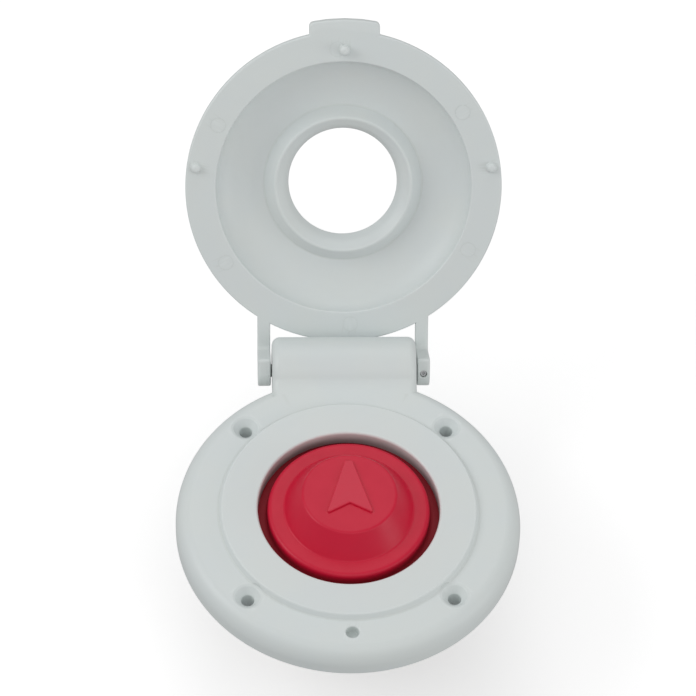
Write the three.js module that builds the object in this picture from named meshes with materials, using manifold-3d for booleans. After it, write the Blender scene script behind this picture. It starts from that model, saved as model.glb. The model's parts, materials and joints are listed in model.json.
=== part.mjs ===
// Deck foot switch with a hinged guard lid, shown with its lid open.
// Millimetres, +Z up. The origin is the centre of the flange on the deck plane,
// +Y points to the hinge and +X to the right of someone who faces the hinge.
import * as THREE from 'three';
import { mergeVertices } from 'three/addons/utils/BufferGeometryUtils.js';
import Module from 'manifold-3d';

const wasm = await Module();
wasm.setup();

// ---------------------------------------------------------------- dimensions

// Clearances.
const FIT = 0.1;
const LOOSE = 0.3;
const OVERCUT = 1;

// Flange that stands on the deck.
const FLANGE_R = 42;
const FLANGE_TOP = 8.2;
const FLANGE_EDGE_R = 4;
const FLANGE_EDGE_HEIGHT = 5;
const FOOT_CHAMFER = 0.8;
const RING_RISE = 1.4;
const RING_FOOT_R = 31.7;
const RING_CHAMFER = 0.8;
const OPENING_R = 22.1;
const OPENING_ROUND = 0.6;
const RING_TOP = FLANGE_TOP + RING_RISE;

// Holes in the flange.
const DECK_SCREW_CIRCLE_R = 35;
const DECK_SCREW_COUNT = 4;
const DECK_SCREW_HOLE_R = 1.6;
const COUNTERSINK_R = 3.3;
const COUNTERSINK_DEPTH = 1.9;
const SNAP_HOLE_R = 1.6;
const SNAP_HOLE_DEPTH = 2.3;

// Bead groove and housing seat under the opening.
const BEAD_LIP = 2.3;
const BEAD_ROOF = 5.2;
const SEAT_WALL = 5.4;
const SEAT_ROOF = 2.6;
const BEAD_R = OPENING_R + BEAD_LIP;
const SEAT_R = BEAD_R + SEAT_WALL;

// Underside of the flange.
const SEAT_RIM = 1.4;
const GASKET_THICK = 1;
const GASKET_EDGE = 2.4;
const POCKET_EDGE = 1;
const FLANGE_SKIN = 3;
const RIB_WIDTH = 1.6;
const RIB_COUNT = 8;
const BOSS_WALL = 1.8;
const GASKET_INNER_R = SEAT_R + SEAT_RIM;
const GASKET_OUTER_R = FLANGE_R - GASKET_EDGE;
const POCKET_INNER_R = GASKET_INNER_R + POCKET_EDGE;
const POCKET_OUTER_R = GASKET_OUTER_R - POCKET_EDGE;
const POCKET_ROOF = FLANGE_TOP - FLANGE_SKIN;

// Button and its rubber boot.
const TROUGH_WIDTH = 2.35;
const BOOT_ROLL_WIDTH = 4.05;
const BOOT_BELOW_RING = 0.6;
const BOOT_WALL = 1.3;
const BEAD_THICK = 1.2;
const BUTTON_TAPER = 4.3;
const BUTTON_RISE = 5.7;
const BUTTON_SKIN = 2.4;
const BUTTON_TRAVEL = 3.5;
const BOOT_RIM_R = OPENING_R - TROUGH_WIDTH;
const BOOT_RIM_Z = RING_TOP - BOOT_BELOW_RING;
const BUTTON_FOOT_R = BOOT_RIM_R - BOOT_ROLL_WIDTH;
const BUTTON_FOOT_Z = BOOT_RIM_Z + 2 * FIT;
const BUTTON_TOP_R = BUTTON_FOOT_R - BUTTON_TAPER;
const BUTTON_TOP = RING_TOP + BUTTON_RISE;

// Raised arrow on the button.
const ARROW_RAISE = 0.6;
const ARROW_TIP_INSET = 2;
const ARROW_TIP_HALF = 1;
const ARROW_WING_INSET = 3;
const ARROW_WING_ANGLE = 43.6;
const ARROW_NOTCH = 3.2;

// Guard lid, as it lies when closed. Depths are measured up from its rim plane.
const LID_INSET = 2.5;
const LID_RING_GAP = 0.3;
const LID_STEP_GAP = 0.2;
const LID_WALL = 2.8;
const LID_RIM_THICK = 3;
const LID_EDGE_ROUND = 0.4;
const LID_TOP_ROUND = 1.3;
const BOWL_DEPTH = 6.6;
const LID_HOLE_MARGIN = 2.2;
const LID_HOLE_DEPTH = 8.1;
const BORE_FLARE = 3.4;
const COLLAR_WIDTH = 2.8;
const COLLAR_CREST_DEPTH = 3.4;
const COLLAR_ROUND = 0.4;
const CROWN_WIDTH = 2.4;
const CROWN_DEPTH = 9.9;
const TAB_HALF = 8.75;
const TAB_REACH = 2.9;
const TAB_CORNER = 1.2;
const PIP_R = 1.3;
const SIDE_PIP_INSET = 2.3;
const SIDE_PIP_ANGLE = 82;
const SIDE_PIP_GAP = 0.3;
const SNAP_PIP_ENGAGEMENT = 1;
const LID_R = FLANGE_R - LID_INSET;
const LID_RIM_Z = RING_TOP + LID_RING_GAP;
const LID_STEP_R = RING_FOOT_R + LID_STEP_GAP;
const LID_SHOULDER_R = LID_STEP_R + LID_WALL;
const LID_HOLE_R = BUTTON_TOP_R + LID_HOLE_MARGIN;
const COLLAR_CREST_R = LID_HOLE_R + BORE_FLARE;
const COLLAR_R = COLLAR_CREST_R + COLLAR_WIDTH;
const CROWN_R = LID_HOLE_R + CROWN_WIDTH;
const SIDE_PIP_CIRCLE_R = LID_R - SIDE_PIP_INSET;

// Hinge. The barrel just clears the back edge of the lid's rim at every angle, and the
// flat heels of the arms rest on the deck when the lid is open.
const HINGE_SETBACK = 3.5;
const HINGE_Z = 4;
const BARREL_GAP = 0.05;
const BARREL_HALF = 18;
const BARREL_END_ROUND = 1.2;
const FILLET_REACH = 9.3;
const FILLET_RISE = 0.55;
const PIN_R = 1.5;
const PIN_PLAY = 0.1;
const ARM_SIDE_GAP = 0.3;
const ARM_WIDTH = 3.2;
const ARM_THROAT_R = 1.2;
const ARM_CORNER_R = 0.6;
const HEEL_GAP = 0.15;
const OPEN_ANGLE = 128;
const SET_SCREW_R = 0.8;
const SET_SCREW_LENGTH = 1.7;
const HINGE_Y = FLANGE_R + HINGE_SETBACK;
const BARREL_R = Math.hypot(HINGE_Y - LID_R, LID_RIM_Z - HINGE_Z) - BARREL_GAP;
const ARM_EYE_R = HINGE_Z - HEEL_GAP;

// Housing below the flange.
const HOUSING_INSET = 0.4;
const HOUSING_WALL = 3;
const GUIDE_LEDGE = 2;
const HOUSING_BOTTOM = -20;
const HOUSING_FLOOR = 2.5;
const GUIDE_SEAT_Z = -1;
const CLAMP_THICK = 1.1;
const CLAMP_INSET = 1.15;
const HOUSING_SCREW_INSET = 2.5;
const HOUSING_SCREW_COUNT = 4;
const HOUSING_SCREW_R = 1.25;
const HOUSING_SCREW_HEAD_R = 2.4;
const HOUSING_SCREW_HEAD_HEIGHT = 1.1;
const HOUSING_SCREW_COVER = 0.8;
const HOUSING_R = BEAD_R - HOUSING_INSET;
const GUIDE_SEAT_R = HOUSING_R - HOUSING_WALL;
const HOUSING_CAVITY_R = GUIDE_SEAT_R - GUIDE_LEDGE;
const CLAMP_INNER_R = BOOT_RIM_R - CLAMP_INSET;
const HOUSING_SCREW_CIRCLE_R = BEAD_R + HOUSING_SCREW_INSET;
const HOUSING_SCREW_TIP = FLANGE_TOP - HOUSING_SCREW_COVER;

// Switch mechanism.
const STEM_R = 3;
const STEM_TENON_R = 2;
const STEM_TAIL = 2.6;
const STEM_COLLAR_R = 5.6;
const STEM_COLLAR_THICK = 1.8;
const GUIDE_HUB_R = 5;
const GUIDE_WEB = 1.8;
const GUIDE_RIM = 3.2;
const SPRING_CAP_INSET = 2.2;
const SPRING_CAP_THICK = 1.8;
const RETURN_SPRING_R = 6.7;
const RETURN_SPRING_WIRE = 1.2;
const RETURN_SPRING_TURNS = 4.5;
const CONTACT_SPRING_R = 4.2;
const CONTACT_SPRING_WIRE = 0.8;
const CONTACT_SPRING_TURNS = 3.5;
const BRIDGE_THICK = 1.6;
const BRIDGE_END = 4;
const BRIDGE_HALF_WIDTH = 4.5;
const TIP_R = 2.6;
const TIP_THICK = 1;
const CLIP_R = 4.6;
const CLIP_GROOVE_R = 2.3;
const CLIP_THICK = 0.6;
const SPRING_CAP_R = BUTTON_TOP_R - SPRING_CAP_INSET;

// Terminals.
const STUD_INSET = 7.5;
const STUD_R = 3;
const STUD_HEAD_R = 5;
const STUD_HEAD_THICK = 2;
const STUD_END = -36;
const STUD_END_CHAMFER = 0.5;
const SEAL_THICK = 0.7;
const NUT_ACROSS_FLATS = 10;
const LOCK_NUT_THICK = 3.6;
const WASHER_R = 6;
const WASHER_THICK = 1;
const SPRING_WASHER_R = 5;
const SPRING_WASHER_THICK = 1.3;
const TERMINAL_NUT_THICK = 4.8;
const STUD_X = HOUSING_CAVITY_R - STUD_INSET;
const BRIDGE_HALF_LENGTH = STUD_X + BRIDGE_END;

// Facets around each kind of turned surface.
const BIG_FACETS = 48;
const ROUND_FACETS = 32;
const SMALL_FACETS = 16;
const ARC_STEPS = 5;
const COIL_STEPS = 12;

// ------------------------------------------------------------------- tools

const WELD_DISTANCE = 1e-4;
const ALONG_X = new THREE.Matrix4().makeBasis(
  new THREE.Vector3(0, 1, 0),
  new THREE.Vector3(0, 0, 1),
  new THREE.Vector3(1, 0, 0),
);

/** Turns a closed geometry into a solid, with shared vertices and no empty triangles. */
function solidOf(geometry) {
  geometry.deleteAttribute('normal');
  geometry.deleteAttribute('uv');
  const merged = mergeVertices(geometry, WELD_DISTANCE);
  const index = merged.index.array;
  const corners = [];
  for (let i = 0; i < index.length; i += 3) {
    const [a, b, c] = index.slice(i, i + 3);
    if (a !== b && b !== c && c !== a) corners.push(a, b, c);
  }
  return new wasm.Manifold(new wasm.Mesh({
    numProp: 3,
    vertProperties: new Float32Array(merged.attributes.position.array),
    triVerts: new Uint32Array(corners),
  }));
}

/** Solid turned about Z from [radius, height] points, closed on itself or on the axis. */
function turned(profile, facets) {
  const points = profile.map(([radius, height]) => new THREE.Vector2(radius, height));
  const onAxis = points[0].x === 0 && points[points.length - 1].x === 0;
  if (!onAxis) points.push(points[0].clone());
  if (THREE.ShapeUtils.area(points) < 0) points.reverse();
  return solidOf(new THREE.LatheGeometry(points, facets).rotateX(Math.PI / 2));
}

/** Round bar along Z. */
function rod(radius, bottom, top, facets) {
  return turned([[0, bottom], [radius, bottom], [radius, top], [0, top]], facets);
}

/** Flat ring about Z. */
function ring(inner, outer, bottom, top, facets) {
  return turned([[inner, bottom], [outer, bottom], [outer, top], [inner, top]], facets);
}

/** Outline in plan raised between two heights. */
function plate(shape, bottom, top) {
  const options = { depth: top - bottom, bevelEnabled: false, curveSegments: ARC_STEPS };
  return solidOf(new THREE.ExtrudeGeometry(shape, options).translate(0, 0, bottom));
}

/** Side outline in (Y, Z) drawn out along X. */
function slabAlongX(shape, left, right, endRound = 0) {
  const options = {
    depth: right - left - 2 * endRound,
    bevelEnabled: endRound > 0,
    bevelThickness: endRound,
    bevelSize: endRound,
    bevelOffset: -endRound,
    bevelSegments: 3,
    curveSegments: ARC_STEPS,
  };
  const geometry = new THREE.ExtrudeGeometry(shape, options).translate(0, 0, left + endRound);
  return solidOf(geometry.applyMatrix4(ALONG_X));
}

/** Round bar along X at a given (Y, Z). */
function rodAlongX(radius, left, right, y, z, facets) {
  const geometry = new THREE.CylinderGeometry(radius, radius, right - left, facets);
  return solidOf(geometry.rotateZ(-Math.PI / 2).translate((left + right) / 2, y, z));
}

/** Rectangular block between two corners. */
function block(low, high) {
  const size = high.map((value, i) => value - low[i]);
  const middle = high.map((value, i) => (value + low[i]) / 2);
  return solidOf(new THREE.BoxGeometry(...size).translate(...middle));
}

/** Points on an ellipse's arc, from one angle to another in degrees, ends included. */
function arc(centre, radii, from, to, steps = ARC_STEPS) {
  const points = [];
  for (let i = 0; i <= steps; i += 1) {
    const angle = THREE.MathUtils.degToRad(from + (to - from) * i / steps);
    points.push([centre[0] + radii[0] * Math.cos(angle), centre[1] + radii[1] * Math.sin(angle)]);
  }
  return points;
}

/** Closed outline through [x, y] points. */
function outline(points) {
  return new THREE.Shape(points.map(([x, y]) => new THREE.Vector2(x, y)));
}

/** Places on a circle, evenly spaced from a first angle in degrees. */
function around(count, radius, first) {
  return Array.from({ length: count }, (_, i) => {
    const angle = THREE.MathUtils.degToRad(first + 360 * i / count);
    return [radius * Math.cos(angle), radius * Math.sin(angle)];
  });
}

/** Copies of a solid at each of several places in plan, as one. */
function atEach(places, piece) {
  return places.map(([x, y]) => piece.translate(x, y, 0)).reduce((all, next) => all.add(next));
}

class Helix extends THREE.Curve {
  constructor(radius, bottom, top, turns) {
    super();
    Object.assign(this, { radius, bottom, top, turns });
  }

  getPoint(t, target = new THREE.Vector3()) {
    const angle = 2 * Math.PI * this.turns * t;
    const height = this.bottom + (this.top - this.bottom) * t;
    return target.set(this.radius * Math.cos(angle), this.radius * Math.sin(angle), height);
  }
}

/** Coil spring of round wire that fills the height between its two seats. */
function coil(radius, wire, seat, cap, turns) {
  const path = new Helix(radius, seat + wire / 2 + FIT, cap - wire / 2 - FIT, turns);
  const section = outline(arc([0, 0], [wire / 2, wire / 2], 0, 315, 7));
  const steps = Math.round(turns * COIL_STEPS);
  return solidOf(new THREE.ExtrudeGeometry(section, { steps, bevelEnabled: false, extrudePath: path }));
}

// ------------------------------------------------------------- base flange

const deckScrewPlaces = around(DECK_SCREW_COUNT, DECK_SCREW_CIRCLE_R, 45);
const housingScrewPlaces = around(HOUSING_SCREW_COUNT, HOUSING_SCREW_CIRCLE_R, 0);
const snapPlace = [0, -DECK_SCREW_CIRCLE_R];

/** Side outline of the hinge block: a barrel over a foot, filleted into the flange top. */
function hingeBlock() {
  const [y, z] = [HINGE_Y, HINGE_Z];
  const toDegrees = (sine) => THREE.MathUtils.radToDeg(Math.asin(sine));
  const frontAngle = 180 - toDegrees((FLANGE_TOP + FILLET_RISE - z) / BARREL_R);
  const backAngle = -toDegrees(z / BARREL_R);
  const barrel = arc([y, z], [BARREL_R, BARREL_R], frontAngle, backAngle, 14);
  const front = new THREE.Vector2(...barrel[0]);
  const slope = THREE.MathUtils.degToRad(frontAngle - 90);
  const run = (front.y - FLANGE_TOP) / Math.tan(slope);
  const start = new THREE.Vector2(y - FILLET_REACH, FLANGE_TOP);
  const corner = new THREE.Vector2(front.x - run, FLANGE_TOP);
  const fillet = new THREE.QuadraticBezierCurve(start, corner, front);
  const rise = fillet.getPoints(ARC_STEPS).slice(0, -1).map((point) => [point.x, point.y]);
  const footY = DECK_SCREW_CIRCLE_R - COUNTERSINK_R;
  const shape = outline([[footY, 0], [footY, FLANGE_TOP - FIT], ...rise, ...barrel].reverse());
  return slabAlongX(shape, -BARREL_HALF, BARREL_HALF, BARREL_END_ROUND);
}

/** Hollow under the flange, with ribs across it and a boss round each screw hole. */
function undersidePockets() {
  const floor = GASKET_THICK - FIT;
  const boss = rod(DECK_SCREW_HOLE_R + BOSS_WALL, floor, POCKET_ROOF, SMALL_FACETS);
  const rib = block([0, -RIB_WIDTH / 2, floor], [FLANGE_R, RIB_WIDTH / 2, POCKET_ROOF]);
  let pockets = ring(POCKET_INNER_R, POCKET_OUTER_R, floor, POCKET_ROOF, BIG_FACETS);
  pockets = pockets.subtract(atEach([...deckScrewPlaces, snapPlace], boss));
  for (let i = 0; i < RIB_COUNT; i += 1) {
    pockets = pockets.subtract(rib.rotate(0, 0, 360 * i / RIB_COUNT));
  }
  return pockets;
}

/** Through hole with a conical seat for a countersunk screw. */
function countersunkHole() {
  return turned([
    [0, -OVERCUT],
    [DECK_SCREW_HOLE_R, -OVERCUT],
    [DECK_SCREW_HOLE_R, FLANGE_TOP - COUNTERSINK_DEPTH],
    [COUNTERSINK_R, FLANGE_TOP],
    [COUNTERSINK_R, RING_TOP + OVERCUT],
    [0, RING_TOP + OVERCUT],
  ], SMALL_FACETS);
}

function baseFlange() {
  const edgeCentre = [FLANGE_R - FLANGE_EDGE_R, FLANGE_TOP - FLANGE_EDGE_HEIGHT];
  const disc = turned([
    [SEAT_R, 0],
    [FLANGE_R - FOOT_CHAMFER, 0],
    [FLANGE_R, FOOT_CHAMFER],
    ...arc(edgeCentre, [FLANGE_EDGE_R, FLANGE_EDGE_HEIGHT], 0, 90),
    [RING_FOOT_R, FLANGE_TOP],
    [RING_FOOT_R - RING_CHAMFER, RING_TOP],
    [OPENING_R + OPENING_ROUND, RING_TOP],
    [OPENING_R, RING_TOP - OPENING_ROUND],
    [OPENING_R, BEAD_ROOF],
    [BEAD_R, BEAD_ROOF],
    [BEAD_R, SEAT_ROOF],
    [SEAT_R, SEAT_ROOF],
  ], BIG_FACETS);
  const gasketRecess = ring(GASKET_INNER_R, GASKET_OUTER_R, -OVERCUT, GASKET_THICK, BIG_FACETS);
  const screwHole = rod(HOUSING_SCREW_R + FIT, SEAT_ROOF - OVERCUT, HOUSING_SCREW_TIP + FIT, SMALL_FACETS);
  const snapHole = rod(SNAP_HOLE_R, FLANGE_TOP - SNAP_HOLE_DEPTH, FLANGE_TOP + OVERCUT, SMALL_FACETS);
  const pinBore = rodAlongX(
    PIN_R + PIN_PLAY, -BARREL_HALF - OVERCUT, BARREL_HALF + OVERCUT, HINGE_Y, HINGE_Z, SMALL_FACETS);
  return disc
    .add(hingeBlock())
    .subtract(gasketRecess)
    .subtract(undersidePockets())
    .subtract(atEach(deckScrewPlaces, countersunkHole()))
    .subtract(atEach(housingScrewPlaces, screwHole))
    .subtract(atEach([snapPlace], snapHole))
    .subtract(pinBore);
}

function deckGasket() {
  const sheet = ring(GASKET_INNER_R + LOOSE, GASKET_OUTER_R - LOOSE, 0, GASKET_THICK - FIT, BIG_FACETS);
  const hole = rod(DECK_SCREW_HOLE_R + LOOSE, -OVERCUT, GASKET_THICK + OVERCUT, SMALL_FACETS);
  return sheet.subtract(atEach(deckScrewPlaces, hole));
}

// --------------------------------------------------------------- guard lid

const armInner = BARREL_HALF + ARM_SIDE_GAP;
const armOuter = armInner + ARM_WIDTH;
const armMiddle = (armInner + armOuter) / 2;
const pinLeft = -armOuter + ARM_WIDTH / 3;

/** Turned bowl of the lid: flat rim, hollow bowl, raised collar and the middle hole. */
function lidBowl() {
  const rimTop = LID_RIM_Z + LID_RIM_THICK;
  const crown = LID_RIM_Z + CROWN_DEPTH;
  const bowlRadii = [LID_STEP_R - COLLAR_R, BOWL_DEPTH];
  const domeRadii = [LID_SHOULDER_R - CROWN_R, crown - rimTop];
  const crest = [COLLAR_CREST_R, LID_RIM_Z + COLLAR_CREST_DEPTH];
  const hole = [LID_HOLE_R, LID_RIM_Z + LID_HOLE_DEPTH];
  const lip = crown - hole[1];
  return turned([
    ...arc([LID_R - LID_EDGE_ROUND, LID_RIM_Z + LID_EDGE_ROUND], [LID_EDGE_ROUND, LID_EDGE_ROUND], -90, 0, 2),
    ...arc([LID_R - LID_TOP_ROUND, rimTop - LID_TOP_ROUND], [LID_TOP_ROUND, LID_TOP_ROUND], 0, 90, 3),
    ...arc([CROWN_R, rimTop], domeRadii, 0, 90, 8),
    ...arc([LID_HOLE_R + lip, hole[1]], [lip, lip], 90, 180, 3).slice(1),
    [crest[0] - COLLAR_ROUND, crest[1] + COLLAR_ROUND / 2],
    crest,
    [crest[0] + COLLAR_ROUND, crest[1] + COLLAR_ROUND / 2],
    ...arc([COLLAR_R, LID_RIM_Z], bowlRadii, 90, 0, 8),
  ], BIG_FACETS);
}

/** Side outline of a lid arm: back from the rim, down in front of the hinge pin to a flat
 * bottom, and round behind the pin. */
function armOutline() {
  const heel = OPEN_ANGLE - 90;
  const eye = [HINGE_Y, HINGE_Z];
  const top = LID_RIM_Z + LID_RIM_THICK;
  const front = HINGE_Y - ARM_EYE_R;
  const bottom = HINGE_Z - ARM_EYE_R;
  const heelAngle = THREE.MathUtils.degToRad(heel);
  const heelRise = top - (HINGE_Z + ARM_EYE_R * Math.sin(heelAngle));
  const heelY = HINGE_Y + ARM_EYE_R * Math.cos(heelAngle) - heelRise * Math.tan(heelAngle);
  const throat = [front - ARM_THROAT_R, LID_RIM_Z - ARM_THROAT_R];
  const corner = [front + ARM_CORNER_R, bottom + ARM_CORNER_R];
  return outline([
    [LID_STEP_R, top],
    [LID_STEP_R, LID_RIM_Z],
    ...arc(throat, [ARM_THROAT_R, ARM_THROAT_R], 90, 0, 4),
    ...arc(corner, [ARM_CORNER_R, ARM_CORNER_R], 180, 270, 3),
    ...arc(eye, [ARM_EYE_R, ARM_EYE_R], 270, 360 + heel, 10),
    [heelY, top],
  ]);
}

/** Finger tab at the front of the lid, with an end that follows the rim's curve. */
function tabOutline() {
  const reach = LID_R + TAB_REACH;
  const side = Math.sqrt(reach * reach - TAB_HALF * TAB_HALF);
  const root = LID_STEP_R + TAB_CORNER;
  const shape = new THREE.Shape();
  shape.moveTo(-TAB_HALF, -root);
  shape.lineTo(-TAB_HALF, -side + TAB_CORNER);
  shape.quadraticCurveTo(-TAB_HALF, -side, -TAB_HALF + TAB_CORNER, -side - TAB_CORNER / 4);
  shape.quadraticCurveTo(0, -2 * reach + side, TAB_HALF - TAB_CORNER, -side - TAB_CORNER / 4);
  shape.quadraticCurveTo(TAB_HALF, -side, TAB_HALF, -side + TAB_CORNER);
  shape.lineTo(TAB_HALF, -root);
  return shape;
}

/** Round peg that hangs from the rim plane and ends in a dome. */
function pip(length) {
  const tip = LID_RIM_Z - length;
  return turned([
    [0, tip],
    [PIP_R * 0.6, tip + PIP_R * 0.15],
    [PIP_R, tip + PIP_R * 0.6],
    [PIP_R, LID_RIM_Z + OVERCUT],
    [0, LID_RIM_Z + OVERCUT],
  ], SMALL_FACETS);
}

function guardLid() {
  const sideAngle = 90 - SIDE_PIP_ANGLE;
  const sidePips = [[SIDE_PIP_CIRCLE_R, -sideAngle], [SIDE_PIP_CIRCLE_R, 180 + sideAngle]].map(
    ([radius, angle]) => around(1, radius, angle)[0]);
  const restLength = LID_RIM_Z - FLANGE_TOP - SIDE_PIP_GAP;
  const snapLength = LID_RIM_Z - FLANGE_TOP + SNAP_PIP_ENGAGEMENT;
  const boreR = PIN_R + PIN_PLAY;
  const bore = rodAlongX(boreR, pinLeft - FIT, armOuter + OVERCUT, HINGE_Y, HINGE_Z, SMALL_FACETS);
  const screwHole = rod(SET_SCREW_R + FIT, HINGE_Z - ARM_EYE_R - OVERCUT, HINGE_Z, SMALL_FACETS);
  return lidBowl()
    .add(plate(tabOutline(), LID_RIM_Z, LID_RIM_Z + LID_RIM_THICK))
    .add(slabAlongX(armOutline(), armInner, armOuter))
    .add(slabAlongX(armOutline(), -armOuter, -armInner))
    .add(atEach(sidePips, pip(restLength)))
    .add(atEach([snapPlace], pip(snapLength)))
    .subtract(bore)
    .subtract(screwHole.translate(armMiddle, HINGE_Y, 0));
}

function hingePin() {
  return rodAlongX(PIN_R, pinLeft, armOuter - FIT, HINGE_Y, HINGE_Z, SMALL_FACETS);
}

/** Grub screw that stops the pin from walking out of the right arm. */
function hingePinSetScrew() {
  const tip = HINGE_Z - PIN_R - FIT;
  const socket = rod(SET_SCREW_R / 2, tip - SET_SCREW_LENGTH - OVERCUT, tip - SET_SCREW_LENGTH / 2, 6);
  return rod(SET_SCREW_R, tip - SET_SCREW_LENGTH, tip, SMALL_FACETS)
    .subtract(socket)
    .translate(armMiddle, HINGE_Y, 0);
}

// --------------------------------------------------------- button and boot

/** Arrowhead that points to the hinge, with a blunt tip and a notched tail. */
function arrowOutline() {
  const wingAngle = THREE.MathUtils.degToRad(ARROW_WING_ANGLE);
  const wingR = BUTTON_TOP_R - ARROW_WING_INSET;
  const wing = [wingR * Math.sin(wingAngle), -wingR * Math.cos(wingAngle)];
  const tipY = BUTTON_TOP_R - ARROW_TIP_INSET;
  return outline([
    [-ARROW_TIP_HALF, tipY],
    [-wing[0], wing[1]],
    [0, wing[1] + ARROW_NOTCH],
    wing,
    [ARROW_TIP_HALF, tipY],
  ]);
}

/** Rigid middle of the boot: a hollow truncated cone with a raised arrow on its top. */
function buttonPad() {
  const innerTop = BUTTON_TOP - BUTTON_SKIN;
  const cap = turned([
    [BUTTON_FOOT_R - BUTTON_SKIN, BUTTON_FOOT_Z],
    [BUTTON_FOOT_R, BUTTON_FOOT_Z],
    [BUTTON_TOP_R, BUTTON_TOP - LOOSE],
    [BUTTON_TOP_R - LOOSE, BUTTON_TOP],
    [0, BUTTON_TOP],
    [0, innerTop],
    [SPRING_CAP_R + LOOSE, innerTop],
  ], BIG_FACETS);
  return cap.add(plate(arrowOutline(), innerTop + BUTTON_SKIN / 2, BUTTON_TOP + ARROW_RAISE));
}

/** Flexing ring of the boot: top roll, thin wall and the bead that is clamped. */
function bootSkirt() {
  const beadBottom = BEAD_ROOF - FIT - BEAD_THICK;
  const inner = BOOT_RIM_R - BOOT_WALL;
  const roll = BOOT_WALL / 2;
  return turned([
    [inner + roll, beadBottom],
    [BEAD_R - LOOSE, beadBottom],
    [BEAD_R - LOOSE, BEAD_ROOF - FIT],
    [BOOT_RIM_R + BOOT_WALL, BEAD_ROOF - FIT],
    [BOOT_RIM_R, BEAD_ROOF + BOOT_WALL],
    ...arc([BOOT_RIM_R - roll, BOOT_RIM_Z - roll], [roll, roll], 0, 90, 3),
    [BUTTON_FOOT_R + LOOSE, BOOT_RIM_Z],
    [BUTTON_FOOT_R + LOOSE, BOOT_RIM_Z - BOOT_WALL],
    [inner - FIT, BOOT_RIM_Z - BOOT_WALL],
    [inner, BOOT_RIM_Z - BOOT_WALL - FIT],
    [inner, beadBottom + BEAD_THICK / 2],
  ], BIG_FACETS);
}

/** Stiff ring that presses the boot's bead into the flange. */
function clampRing() {
  const top = BEAD_ROOF - 2 * FIT - BEAD_THICK;
  return ring(CLAMP_INNER_R, BEAD_R - LOOSE, top - CLAMP_THICK, top, BIG_FACETS);
}

// ------------------------------------------------------- housing and screws

const floorTop = HOUSING_BOTTOM + HOUSING_FLOOR;
const studPlaces = [[-STUD_X, 0], [STUD_X, 0]];

function switchHousing() {
  const top = SEAT_ROOF - FIT;
  const flangeBottom = 2 * FIT;
  const cup = turned([
    [0, HOUSING_BOTTOM],
    [HOUSING_R - FOOT_CHAMFER, HOUSING_BOTTOM],
    [HOUSING_R, HOUSING_BOTTOM + FOOT_CHAMFER],
    [HOUSING_R, flangeBottom],
    [SEAT_R - LOOSE, flangeBottom],
    [SEAT_R - LOOSE, top],
    [GUIDE_SEAT_R, top],
    [GUIDE_SEAT_R, GUIDE_SEAT_Z],
    [HOUSING_CAVITY_R, GUIDE_SEAT_Z],
    [HOUSING_CAVITY_R, floorTop],
    [0, floorTop],
  ], ROUND_FACETS);
  const headTop = flangeBottom + HOUSING_SCREW_HEAD_HEIGHT + FIT;
  const screwHole = turned([
    [0, flangeBottom - OVERCUT],
    [HOUSING_SCREW_HEAD_R + FIT, flangeBottom - OVERCUT],
    [HOUSING_SCREW_HEAD_R + FIT, flangeBottom + FIT],
    [HOUSING_SCREW_R + FIT, headTop],
    [HOUSING_SCREW_R + FIT, top + OVERCUT],
    [0, top + OVERCUT],
  ], SMALL_FACETS);
  const studHole = rod(STUD_R + FIT, HOUSING_BOTTOM - OVERCUT, floorTop + OVERCUT, SMALL_FACETS);
  return cup.subtract(atEach(housingScrewPlaces, screwHole)).subtract(atEach(studPlaces, studHole));
}

/** Countersunk screw from the housing's flange up into the base flange. */
function housingScrew([x, y]) {
  const bottom = 3 * FIT;
  const neck = bottom + HOUSING_SCREW_HEAD_HEIGHT;
  const slotDepth = HOUSING_SCREW_HEAD_HEIGHT / 2;
  const slotHalf = HOUSING_SCREW_HEAD_HEIGHT / 4;
  const body = turned([
    [0, bottom],
    [HOUSING_SCREW_HEAD_R, bottom],
    [HOUSING_SCREW_R, neck],
    [HOUSING_SCREW_R, HOUSING_SCREW_TIP - HOUSING_SCREW_R],
    [HOUSING_SCREW_R / 2, HOUSING_SCREW_TIP],
    [0, HOUSING_SCREW_TIP],
  ], SMALL_FACETS);
  const slot = block(
    [-HOUSING_SCREW_HEAD_R - OVERCUT, -slotHalf, bottom - OVERCUT],
    [HOUSING_SCREW_HEAD_R + OVERCUT, slotHalf, bottom + slotDepth]);
  return body.subtract(slot).translate(x, y, 0);
}

// --------------------------------------------------------------- mechanism

// Heights of the contacts, from the housing's floor up.
const studHeadBottom = floorTop + SEAL_THICK + FIT;
const studHeadTop = studHeadBottom + STUD_HEAD_THICK;
const fixedTipTop = studHeadTop + FIT / 2 + TIP_THICK;
const movingTipBottom = fixedTipTop + FIT / 2 + BUTTON_TRAVEL;
const bridgeBottom = movingTipBottom + TIP_THICK + FIT / 2;
const bridgeTop = bridgeBottom + BRIDGE_THICK;

// Heights of the stem's shoulders and of the return spring's seats.
const stemBottom = bridgeBottom - STEM_TAIL;
const collarTop = GUIDE_SEAT_Z - FIT;
const collarBottom = collarTop - STEM_COLLAR_THICK;
const springSeat = GUIDE_SEAT_Z + GUIDE_WEB;
const capBottom = BUTTON_TOP - BUTTON_SKIN - FIT - SPRING_CAP_THICK;

/** Disc that guides the stem and seats the return spring. */
function plungerGuide() {
  return turned([
    [STEM_R + LOOSE, GUIDE_SEAT_Z],
    [GUIDE_SEAT_R - LOOSE, GUIDE_SEAT_Z],
    [GUIDE_SEAT_R - LOOSE, GUIDE_SEAT_Z + GUIDE_RIM],
    [CLAMP_INNER_R - OVERCUT, GUIDE_SEAT_Z + GUIDE_RIM],
    [CLAMP_INNER_R - OVERCUT, springSeat],
    [GUIDE_HUB_R, springSeat],
    [GUIDE_HUB_R, GUIDE_SEAT_Z + GUIDE_RIM],
    [STEM_R + LOOSE, GUIDE_SEAT_Z + GUIDE_RIM],
  ], ROUND_FACETS);
}

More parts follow.
